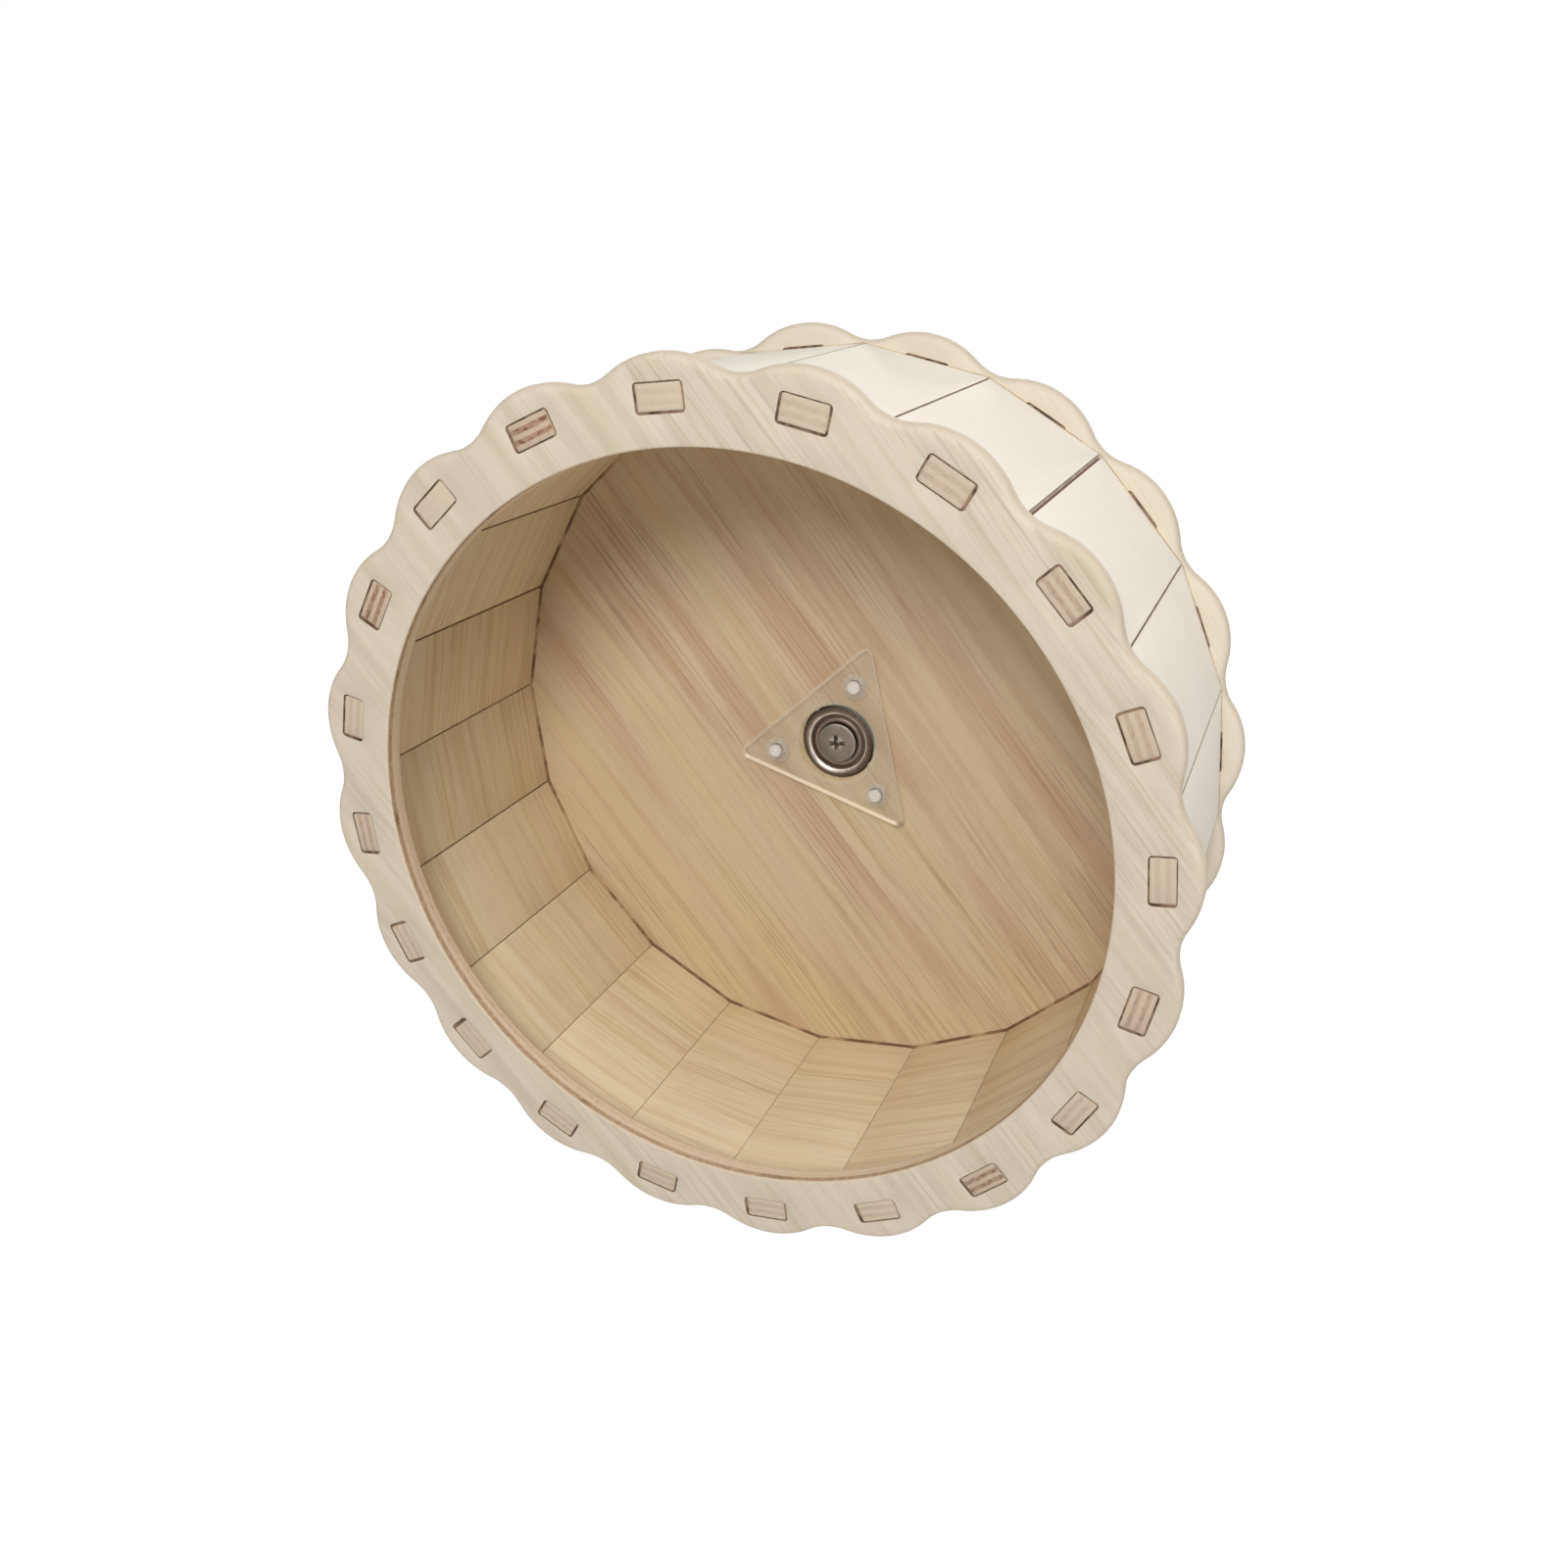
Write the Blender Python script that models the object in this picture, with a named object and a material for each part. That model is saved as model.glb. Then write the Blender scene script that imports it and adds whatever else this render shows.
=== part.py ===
"""Wooden hamster wheel on a ball-bearing hub, with the screw that clamps it to a cage wall.

Everything is in metres with +Z up. The wheel turns about the Y axis: its open mouth faces -Y and
the cage wall is at +Y. The origin is on the axle, halfway along the whole part. Under the
"hamster_wheel" empty, Y is measured from the front face of the mouth ring.
"""

from math import asin, atan2, copysign, cos, pi, radians, sin, sqrt, tan

import bmesh
import bpy
from mathutils import Matrix, Vector

# Fits
GAP = 0.0003  # between pieces that touch, and round a shaft in its hole
BALL_GAP = 0.00025  # between a ball and its grooves
POCKET_GAP = 0.0001  # between a ball and its cage

# Drum
SLAT_COUNT = 20
FIRST_SLAT_ANGLE = radians(95.9)
RUNNING_RADIUS = 0.0897  # axle to the flat running face of a slat
RUNNING_WIDTH = 0.0700  # between the ring and the disc
SLAT_THICKNESS = 0.0050
SLAT_JOINT = 0.0003  # between two neighbouring slats, whose sides are mitred
TENON_WIDTH = 0.0100
MORTISE_CORNER = 0.0006
RING_THICKNESS = 0.0050
DISC_THICKNESS = 0.0050
MOUTH_LIP = 0.0066  # how far the ring stands inside the running faces
RIM_COVER = 0.0053  # from the slats' outer faces to the top of a lobe
LOBE_RADIUS = 0.0200
VALLEY_RADIUS = 0.0120
EDGE_CHAMFER = 0.0006

# Ball bearing, 6 x 19 x 6
BEARING_BORE = 0.0060
BEARING_DIAMETER = 0.0190
BEARING_WIDTH = 0.0060
RACE_WALL = 0.00125  # under the bottom of a groove
SHOULDER_OPENING = 0.0024  # between the shoulders of the two races
RACE_CHAMFER = 0.0003
BALL_COUNT = 7
CAGE_THICKNESS = 0.0010
CAGE_WIDTH = 0.0042
SHIELD_THICKNESS = 0.0003
SHIELD_RECESS = 0.0003  # its rim, behind the race's end face
SHIELD_DISH = 0.00018  # its middle, behind its rim
SHIELD_RIM = 0.0005
SHIELD_SEAT = 0.0008  # width of the race's ledge for the shield

# Hub plates and their rivets
PLATE_THICKNESS = 0.0020
PLATE_MARGIN = 0.0046  # between the bearing's hole and a side of the plate
PLATE_CORNER = 0.0020
PLATE_ANGLE = radians(72.5)
RETAINING_LIP = 0.0020  # how far the rear plate covers the bearing
RIVET_SIDE_MARGIN = 0.0061  # from a rivet's centre to the plate's sides
RIVET_RADIUS = 0.0019
RIVET_HEAD_RADIUS = 0.0033
RIVET_HEAD_EDGE = 0.0004
RIVET_DOME = 0.0015
RIVET_TAIL = 0.0006  # length of shank inside the cap
CAP_CROWN = 0.0010  # plastic over the end of that shank

# Axle screw and clamp
SCREW_HEAD_RADIUS = 0.0051
SCREW_HEAD_THICKNESS = 0.0008
SCREW_CHAMFER = 0.0004
RECESS_SPAN = 0.0037
RECESS_ARM = 0.0009
RECESS_DEPTH = 0.0018
RECESS_TAPER = 0.45  # size of the recess at its bottom, against its size at the top
RECESS_ANGLE = radians(38)
LOCK_NUT_FLATS = 0.0100
LOCK_NUT_HEIGHT = 0.0050
WASHER_RADIUS = 0.0090
WASHER_THICKNESS = 0.0016
CAGE_WALL = 0.0050  # room between the washers for the cage wall
THREAD_SPARE = 0.0056  # thread beyond the wing nut, on which it backs off
WING_NUT_HEIGHT = 0.0090
WING_NUT_BASE_RADIUS = 0.0065
WING_NUT_NECK_RADIUS = 0.0050
WING_REACH = 0.0140  # axle to the tip of a wing
WING_RISE = 0.0120  # seat of the nut to the top of a wing
WING_TIP_RADIUS = 0.0030
WING_THICKNESS = 0.0022
WING_SLOPE = radians(60)  # of a wing's lower edge, from the nut's seat

# Facets
MOUTH_STEPS = 96
ROUND_STEPS = 48
HIDDEN_STEPS = 28
SMALL_STEPS = 20
LOBE_STEPS = 7
VALLEY_STEPS = 3
CORNER_STEPS = 1
GROOVE_STEPS = 5
DOME_STEPS = 4
HEX_SIDES = 6
SMOOTH_ANGLE = radians(35)  # flatter edges are shaded smooth
MERGE_DISTANCE = 1e-6

# Radii that follow
HALF_PITCH = pi / SLAT_COUNT
SLAT_WIDTH = 2 * RUNNING_RADIUS * tan(HALF_PITCH) - SLAT_JOINT
MOUTH_RADIUS = RUNNING_RADIUS - MOUTH_LIP
CREST_RADIUS = RUNNING_RADIUS + SLAT_THICKNESS + RIM_COVER
BORE_RADIUS = BEARING_BORE / 2
RACE_RADIUS = BEARING_DIAMETER / 2
BALL_CIRCLE = (BORE_RADIUS + RACE_RADIUS) / 2
GROOVE_RADIUS = (RACE_RADIUS - BORE_RADIUS) / 2 - RACE_WALL
BALL_RADIUS = GROOVE_RADIUS - BALL_GAP
POCKET_LENGTH = 3 * CAGE_THICKNESS
BEARING_SEAT = RACE_RADIUS + GAP
SHANK_RADIUS = BORE_RADIUS - GAP
THREAD_HOLE = SHANK_RADIUS + GAP
RIVET_HOLE = RIVET_RADIUS + GAP
PLATE_INRADIUS = BEARING_SEAT + PLATE_MARGIN
RIVET_CIRCLE = 2 * (PLATE_INRADIUS - RIVET_SIDE_MARGIN)
RIVET_ANGLES = [PLATE_ANGLE + k * 2 * pi / 3 for k in range(3)]

# Places along the axle, from the front face of the ring
RING_BACK = RING_THICKNESS
DISC_FRONT = RING_BACK + RUNNING_WIDTH
DISC_BACK = DISC_FRONT + DISC_THICKNESS
FRONT_PLATE_BACK = DISC_FRONT - GAP
FRONT_PLATE_FRONT = FRONT_PLATE_BACK - PLATE_THICKNESS
REAR_PLATE_FRONT = DISC_BACK + GAP
REAR_PLATE_BACK = REAR_PLATE_FRONT + PLATE_THICKNESS
BEARING_BACK = REAR_PLATE_FRONT - GAP
BEARING_CENTRE = BEARING_BACK - BEARING_WIDTH / 2
SCREW_HEAD_BACK = BEARING_BACK - BEARING_WIDTH - GAP
LOCK_NUT_FRONT = BEARING_BACK + GAP
INNER_WASHER_FRONT = LOCK_NUT_FRONT + LOCK_NUT_HEIGHT + GAP
OUTER_WASHER_FRONT = INNER_WASHER_FRONT + WASHER_THICKNESS + CAGE_WALL
WING_NUT_FRONT = OUTER_WASHER_FRONT + WASHER_THICKNESS + GAP
SCREW_TIP = WING_NUT_FRONT + WING_NUT_HEIGHT + THREAD_SPARE


def finish(name, colour, roughness, metallic=0.0, alpha=1.0):
    """A Principled material of one plain colour."""
    material = bpy.data.materials.new(name)
    material.use_nodes = True
    shader = material.node_tree.nodes["Principled BSDF"]
    shader.inputs["Base Color"].default_value = (*colour, 1.0)
    shader.inputs["Roughness"].default_value = roughness
    shader.inputs["Metallic"].default_value = metallic
    shader.inputs["Alpha"].default_value = alpha
    material.diffuse_color = (*colour, alpha)
    return material


def pale_ply(name):
    return finish(name, (0.72, 0.62, 0.48), 0.60)


def tan_ply(name):
    return finish(name, (0.50, 0.37, 0.23), 0.60)


def clear_acrylic(name):
    return finish(name, (0.88, 0.90, 0.90), 0.08, alpha=0.35)


def bearing_steel(name):
    return finish(name, (0.42, 0.38, 0.35), 0.25, metallic=1.0)


def zinc_steel(name):
    return finish(name, (0.55, 0.53, 0.50), 0.35, metallic=1.0)


def empty(name, parent=None, y=0.0):
    """An empty on the axle, which carries the pieces that move together."""
    guide = bpy.data.objects.new(name, None)
    bpy.context.scene.collection.objects.link(guide)
    guide.parent = parent
    guide.location = (0.0, y, 0.0)
    return guide


def place(name, mesh, parent, x=0.0, y=0.0, z=0.0, turn=0.0):
    """A named object, turned about its own Y axis."""
    piece = bpy.data.objects.new(name, mesh)
    bpy.context.scene.collection.objects.link(piece)
    piece.parent = parent
    piece.location = (x, y, z)
    piece.rotation_euler = (0.0, turn, 0.0)
    return piece


def mesh_from(name, bm, material, smooth_angle=None):
    """Turn a bmesh with its faces pointing out into a mesh, smooth below the given angle."""
    bmesh.ops.recalc_face_normals(bm, faces=bm.faces)
    mesh = bpy.data.meshes.new(name)
    bm.to_mesh(mesh)
    bm.free()
    mesh.materials.append(material)
    if smooth_angle is not None:
        mesh.shade_smooth()
        mesh.set_sharp_from_angle(angle=smooth_angle)
    return mesh


def shape_with(body, tool, operation="DIFFERENCE"):
    """Cut the tool out of the body, or join it on."""
    tool.hide_render = True
    tool.display_type = "WIRE"
    modifier = body.modifiers.new(tool.name, "BOOLEAN")
    modifier.operation = operation
    modifier.object = tool


def arc(centre, radius, start, end, steps):
    """Points (x, z) along an arc, without its last one."""
    angles = [start + (end - start) * k / steps for k in range(steps)]
    return [(centre[0] + radius * cos(a), centre[1] + radius * sin(a)) for a in angles]


def circle(radius, steps, centre=(0.0, 0.0)):
    """An outline function for a round: its points once it has grown by an offset."""
    return lambda offset: arc(centre, radius + offset, 0.0, 2 * pi, steps)


def polar(radius, angle):
    return radius * cos(angle), radius * sin(angle)


def slat_angle(index):
    """Slats run clockwise, seen from the mouth."""
    return FIRST_SLAT_ANGLE - index * 2 * HALF_PITCH


def scallops(offset):
    """The rim of the ring and the disc: a convex lobe over each slat, a soft valley between."""
    lobe_centre = CREST_RADIUS - LOBE_RADIUS
    reach = LOBE_RADIUS + VALLEY_RADIUS
    half_chord = lobe_centre * sin(HALF_PITCH)
    valley_centre = lobe_centre * cos(HALF_PITCH) + sqrt(reach**2 - half_chord**2)
    swing = HALF_PITCH + asin(half_chord / reach)
    points = []
    for index in range(SLAT_COUNT):
        middle = FIRST_SLAT_ANGLE + index * 2 * HALF_PITCH
        lobe = polar(lobe_centre, middle)
        valley = polar(valley_centre, middle + HALF_PITCH)
        points += arc(lobe, LOBE_RADIUS + offset, middle - swing, middle + swing, LOBE_STEPS)
        valley_start = middle + swing + pi
        valley_end = middle + 2 * HALF_PITCH - swing + pi
        points += arc(valley, VALLEY_RADIUS - offset, valley_start, valley_end, VALLEY_STEPS)
    return points


def mortise(angle):
    """An outline function for the slot that takes the tenon of the slat at this angle."""
    half_thickness = SLAT_THICKNESS / 2 + GAP
    half_width = TENON_WIDTH / 2 + GAP
    middle_radius = RUNNING_RADIUS + SLAT_THICKNESS / 2
    outward = Vector(polar(1.0, angle))
    along = Vector((-outward.y, outward.x))
    corner_signs = [(1, 1), (-1, 1), (-1, -1), (1, -1)]

    def outline(offset):
        points = []
        for quarter, (out, side) in enumerate(corner_signs):
            centre = outward * (middle_radius + out * (half_thickness - MORTISE_CORNER))
            centre += along * side * (half_width - MORTISE_CORNER)
            start = angle + quarter * pi / 2
            radius = MORTISE_CORNER + offset
            points += arc(centre, radius, start, start + pi / 2, CORNER_STEPS)
            points.append(tuple(centre + Vector(polar(radius, start + pi / 2))))
        return points

    return outline


def rounded_triangle(offset):
    """The outline of a hub plate, one corner at PLATE_ANGLE."""
    corner_circle = 2 * (PLATE_INRADIUS - PLATE_CORNER)
    points = []
    for angle in RIVET_ANGLES:
        centre = polar(corner_circle, angle)
        start, end = angle - pi / 3, angle + pi / 3
        radius = PLATE_CORNER + offset
        points += arc(centre, radius, start, end, LOBE_STEPS)
        tip = polar(radius, end)
        points.append((centre[0] + tip[0], centre[1] + tip[1]))
    return points


def flat_board(name, rim, holes, thickness, material):
    """A board whose front face is at y = 0.

    The rim and each hole are an outline function with the chamfer of its edges.
    """
    bm = bmesh.new()
    front_edges, back_edges = [], []
    outlines = [(*rim, -1)] + [(*hole, 1) for hole in holes]
    for outline, chamfer, inward in outlines:
        sections = [(0.0, chamfer), (0.0, thickness - chamfer)]
        if chamfer:
            sections = [(inward * chamfer, 0.0), *sections, (inward * chamfer, thickness)]
        loops = [edge_loop(bm, outline(offset), y) for offset, y in sections]
        for first, second in zip(loops, loops[1:]):
            bmesh.ops.bridge_loops(bm, edges=first + second)
        front_edges += loops[0]
        back_edges += loops[-1]
    bmesh.ops.triangle_fill(bm, use_beauty=True, edges=front_edges)
    bmesh.ops.triangle_fill(bm, use_beauty=True, edges=back_edges)
    return mesh_from(name, bm, material)


def edge_loop(bm, points, y):
    """A closed loop of edges at one depth."""
    verts = [bm.verts.new((x, y, z)) for x, z in points]
    return [bm.edges.new(pair) for pair in zip(verts, verts[1:] + verts[:1])]


def turned(name, profile, material, steps=ROUND_STEPS):
    """A body turned about Y from (radius, y) points; one that starts on the axis is solid."""
    bm = bmesh.new()
    verts = [bm.verts.new((radius, y, 0.0)) for radius, y in profile]
    pairs = list(zip(verts, verts[1:]))
    if profile[0][0] > 0.0:
        pairs.append((verts[-1], verts[0]))
    edges = [bm.edges.new(pair) for pair in pairs]
    bmesh.ops.spin(
        bm,
        geom=verts + edges,
        cent=(0.0, 0.0, 0.0),
        axis=(0.0, 1.0, 0.0),
        angle=2 * pi,
        steps=steps,
        use_merge=True,
    )
    bmesh.ops.remove_doubles(bm, verts=bm.verts, dist=MERGE_DISTANCE)
    return mesh_from(name, bm, material, smooth_angle=SMOOTH_ANGLE)


def prism(name, points, low, high, material, top_scale=1.0):
    """An (x, z) outline drawn out along Y, narrowed towards its far end by top_scale."""
    bm = bmesh.new()
    near = edge_loop(bm, points, low)
    far = edge_loop(bm, [(x * top_scale, z * top_scale) for x, z in points], high)
    bmesh.ops.bridge_loops(bm, edges=near + far)
    bmesh.ops.triangle_fill(bm, edges=near)
    bmesh.ops.triangle_fill(bm, edges=far)
    return mesh_from(name, bm, material)


def build_boards(wheel):
    """The mouth ring and the back disc, with a mortise for every tenon."""
    mortises = [(mortise(slat_angle(index)), 0.0) for index in range(SLAT_COUNT)]
    rim = (scallops, EDGE_CHAMFER)
    mouth = (circle(MOUTH_RADIUS, MOUTH_STEPS), EDGE_CHAMFER)
    ring = flat_board("front_ring", rim, [mouth, *mortises], RING_THICKNESS, pale_ply("front_ring"))
    place("front_ring", ring, wheel)

    hub_holes = [(circle(BEARING_SEAT, ROUND_STEPS), 0.0), *rivet_holes()]
    disc = flat_board("back_disc", rim, [*hub_holes, *mortises], DISC_THICKNESS, tan_ply("back_disc"))
    place("back_disc", disc, wheel, y=DISC_FRONT)


def rivet_holes():
    """The three holes that the ring of rivets needs in a plate or in the disc."""
    centres = [polar(RIVET_CIRCLE, angle) for angle in RIVET_ANGLES]
    return [(circle(RIVET_HOLE, SMALL_STEPS, centre), 0.0) for centre in centres]


def slat_mesh():
    """A slat as it lies at the top of the drum, with mitred sides and a tenon through each board."""
    half_width, half_tenon = SLAT_WIDTH / 2, TENON_WIDTH / 2
    front_shoulder, back_shoulder = RING_BACK + GAP, DISC_FRONT - GAP
    front_half = [
        (-half_width, back_shoulder),
        (-half_width, front_shoulder),
        (-half_tenon, front_shoulder),
        (-half_tenon, 0.0),
        (half_tenon, 0.0),
        (half_tenon, front_shoulder),
        (half_width, front_shoulder),
        (half_width, back_shoulder),
    ]
    back_tenon = [(half_tenon, back_shoulder), (half_tenon, DISC_BACK)]
    outline = [*front_half, *back_tenon, (-half_tenon, DISC_BACK), (-half_tenon, back_shoulder)]
    bm = bmesh.new()
    verts = [bm.verts.new((x, y, RUNNING_RADIUS)) for x, y in outline]
    face = bm.faces.new(verts)
    extruded = bmesh.ops.extrude_face_region(bm, geom=[face])
    raised = [item for item in extruded["geom"] if isinstance(item, bmesh.types.BMVert)]
    bmesh.ops.translate(bm, verts=raised, vec=(0.0, 0.0, SLAT_THICKNESS))
    flare = SLAT_THICKNESS * tan(HALF_PITCH)
    for vert in raised:
        if abs(vert.co.x) > half_tenon + GAP:
            vert.co.x += copysign(flare, vert.co.x)
    return mesh_from("slat", bm, pale_ply("slat"))


def build_slats(wheel):
    mesh = slat_mesh()
    for index in range(SLAT_COUNT):
        place(f"slat_{index + 1:02d}", mesh, wheel, turn=pi / 2 - slat_angle(index))


def build_hub_plates(wheel):
    """Two clear triangles that hold the bearing: the rear one covers its edge."""
    rim = (rounded_triangle, 0.0)
    sides = {
        "hub_plate_front": (BEARING_SEAT, FRONT_PLATE_FRONT),
        "hub_plate_rear": (RACE_RADIUS - RETAINING_LIP, REAR_PLATE_FRONT),
    }
    for name, (hole_radius, front) in sides.items():
        holes = [(circle(hole_radius, ROUND_STEPS), 0.0), *rivet_holes()]
        plate = flat_board(name, rim, holes, PLATE_THICKNESS, clear_acrylic(name))
        place(name, plate, wheel, y=front)


def dome(base_radius, base_y, height):
    """Profile points from the axis down a dome to its base, which faces +Y."""
    sphere = (base_radius**2 + height**2) / (2 * height)
    spread = asin(min(1.0, base_radius / sphere))
    angles = [spread * k / DOME_STEPS for k in range(DOME_STEPS + 1)]
    return [(sphere * sin(a), base_y - height + sphere * (1 - cos(a))) for a in angles]


def build_rivets(wheel):
    """Clear rivets through both plates and the disc, each closed by a domed cap."""
    seat = FRONT_PLATE_FRONT - GAP
    shank_end = REAR_PLATE_BACK + GAP + RIVET_TAIL
    head = dome(RIVET_HEAD_RADIUS, seat - RIVET_HEAD_EDGE, RIVET_DOME)
    shank = [
        (RIVET_HEAD_RADIUS, seat),
        (RIVET_RADIUS, seat),
        (RIVET_RADIUS, shank_end),
        (0.0, shank_end),
    ]
    rivet = turned("rivet", head + shank, clear_acrylic("rivet"), SMALL_STEPS)

    cap_seat = REAR_PLATE_BACK + GAP
    cap_edge = cap_seat + RIVET_HEAD_EDGE
    pocket_end = shank_end + GAP
    mirrored = dome(RIVET_HEAD_RADIUS, -cap_edge, pocket_end + CAP_CROWN - cap_edge)
    cap_dome = [(radius, -y) for radius, y in mirrored]
    pocket = [
        (RIVET_HEAD_RADIUS, cap_seat),
        (RIVET_HOLE, cap_seat),
        (RIVET_HOLE, pocket_end),
        (0.0, pocket_end),
    ]
    cap = turned("rivet_cap", cap_dome + pocket, clear_acrylic("rivet_cap"), SMALL_STEPS)
    for number, angle in enumerate(RIVET_ANGLES, start=1):
        x, z = polar(RIVET_CIRCLE, angle)
        place(f"rivet_{number}", rivet, wheel, x=x, z=z)
        place(f"rivet_cap_{number}", cap, wheel, x=x, z=z)


def groove(side):
    """Profile points of a race's groove; side is 1 for the outer race and -1 for the inner."""
    edge = asin(SHOULDER_OPENING / 2 / GROOVE_RADIUS)
    angles = [edge + (pi - 2 * edge) * k / GROOVE_STEPS for k in range(GROOVE_STEPS + 1)]
    return [(BALL_CIRCLE + side * GROOVE_RADIUS * sin(a), -GROOVE_RADIUS * cos(a)) for a in angles]


def build_races(wheel, axle):
    """The two races; the outer one has a ledge at each end for its shield."""
    half_width = BEARING_WIDTH / 2
    chamfered = half_width - RACE_CHAMFER
    shoulder = BALL_CIRCLE + SHOULDER_OPENING / 2
    ledge = shoulder + SHIELD_SEAT
    ledge_depth = half_width - SHIELD_RECESS - SHIELD_THICKNESS - BALL_GAP
    outer = [
        (RACE_RADIUS, chamfered),
        (RACE_RADIUS, -chamfered),
        (RACE_RADIUS - RACE_CHAMFER, -half_width),
        (ledge, -half_width),
        (ledge, -ledge_depth),
        (shoulder, -ledge_depth),
        *groove(1),
        (shoulder, ledge_depth),
        (ledge, ledge_depth),
        (ledge, half_width),
        (RACE_RADIUS - RACE_CHAMFER, half_width),
    ]
    outer_race = turned("bearing_outer_race", outer, bearing_steel("bearing_outer_race"))
    place("bearing_outer_race", outer_race, wheel, y=BEARING_CENTRE)

    inner_shoulder = BALL_CIRCLE - SHOULDER_OPENING / 2
    inner = [
        (BORE_RADIUS, half_width),
        (BORE_RADIUS, -half_width),
        (inner_shoulder, -half_width),
        *groove(-1),
        (inner_shoulder, half_width),
    ]
    finish_inner = bearing_steel("bearing_inner_race")
    inner_race = turned("bearing_inner_race", inner, finish_inner, HIDDEN_STEPS)
    place("bearing_inner_race", inner_race, axle, y=BEARING_CENTRE)


def build_shields(wheel):
    """Dished steel shields, clipped into the outer race and clear of the inner one."""
    front = SHIELD_RECESS - BEARING_WIDTH / 2
    rim = BALL_CIRCLE + SHOULDER_OPENING / 2 + SHIELD_SEAT - GAP
    step = rim - SHIELD_RIM
    lip = BALL_CIRCLE - SHOULDER_OPENING / 2 + GAP
    dish = front + SHIELD_DISH
    profile = [
        (rim, front),
        (step, front),
        (step - SHIELD_DISH, dish),
        (lip, dish),
        (lip, dish + SHIELD_THICKNESS),
        (step - SHIELD_DISH, dish + SHIELD_THICKNESS),
        (step, front + SHIELD_THICKNESS),
        (rim, front + SHIELD_THICKNESS),
    ]
    for name, turn in (("bearing_shield_front", 0.0), ("bearing_shield_rear", pi)):
        shield = turned(name, profile, bearing_steel(name))
        piece = place(name, shield, wheel, y=BEARING_CENTRE)
        piece.rotation_euler = (turn, 0.0, 0.0)


def build_balls(ball_set):
    """The balls and the ring cage that spaces them, with a round pocket for each."""
    ball_bm = bmesh.new()
    bmesh.ops.create_icosphere(ball_bm, subdivisions=2, radius=BALL_RADIUS)
    ball = mesh_from("bearing_ball", ball_bm, bearing_steel("bearing_ball"), SMOOTH_ANGLE)
    pockets = bmesh.new()
    for number in range(BALL_COUNT):
        x, z = polar(BALL_CIRCLE, number * 2 * pi / BALL_COUNT)
        place(f"bearing_ball_{number + 1}", ball, ball_set, x=x, z=z)
        outward = Vector((x, 0.0, z)).to_track_quat("Z", "Y").to_matrix().to_4x4()
        bmesh.ops.create_cone(
            pockets,
            cap_ends=True,
            segments=SMALL_STEPS,
            radius1=BALL_RADIUS + POCKET_GAP,
            radius2=BALL_RADIUS + POCKET_GAP,
            depth=POCKET_LENGTH,
            matrix=Matrix.Translation((x, 0.0, z)) @ outward,
        )
    inner, outer = BALL_CIRCLE - CAGE_THICKNESS / 2, BALL_CIRCLE + CAGE_THICKNESS / 2
    half_width = CAGE_WIDTH / 2
    ring = [(outer, -half_width), (inner, -half_width), (inner, half_width), (outer, half_width)]
    cage_mesh = turned("bearing_cage", ring, zinc_steel("bearing_cage"), HIDDEN_STEPS)
    cage = place("bearing_cage", cage_mesh, ball_set)
    pocket_mesh = mesh_from("cage_pockets", pockets, zinc_steel("cage_pockets"))
    shape_with(cage, place("cage_pockets", pocket_mesh, ball_set))


def build_axle_screw(axle):
    """A low-headed machine screw with a cross recess; its thread is a plain shank."""
    head_front = SCREW_HEAD_BACK - SCREW_HEAD_THICKNESS
    profile = [
        (0.0, head_front),
        (SCREW_HEAD_RADIUS - SCREW_CHAMFER, head_front),
        (SCREW_HEAD_RADIUS, head_front + SCREW_CHAMFER),
        (SCREW_HEAD_RADIUS, SCREW_HEAD_BACK),
        (SHANK_RADIUS, SCREW_HEAD_BACK),
        (SHANK_RADIUS, SCREW_TIP - SCREW_CHAMFER),
        (SHANK_RADIUS - SCREW_CHAMFER, SCREW_TIP),
        (0.0, SCREW_TIP),
    ]
    screw = place("axle_screw", turned("axle_screw", profile, zinc_steel("axle_screw")), axle)

    half_span, half_arm = RECESS_SPAN / 2, RECESS_ARM / 2
    points = []
    for quarter in range(4):
        for along, across in ((half_span, -half_arm), (half_span, half_arm), (half_arm, half_arm)):
            reach = sqrt(along**2 + across**2)
            points.append(polar(reach, atan2(across, along) + quarter * pi / 2 + RECESS_ANGLE))
    material = zinc_steel("cross_recess")
    low, high = head_front - GAP, head_front + RECESS_DEPTH
    cross = prism("cross_recess", points, low, high, material, RECESS_TAPER)
    shape_with(screw, place("cross_recess", cross, axle))


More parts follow.
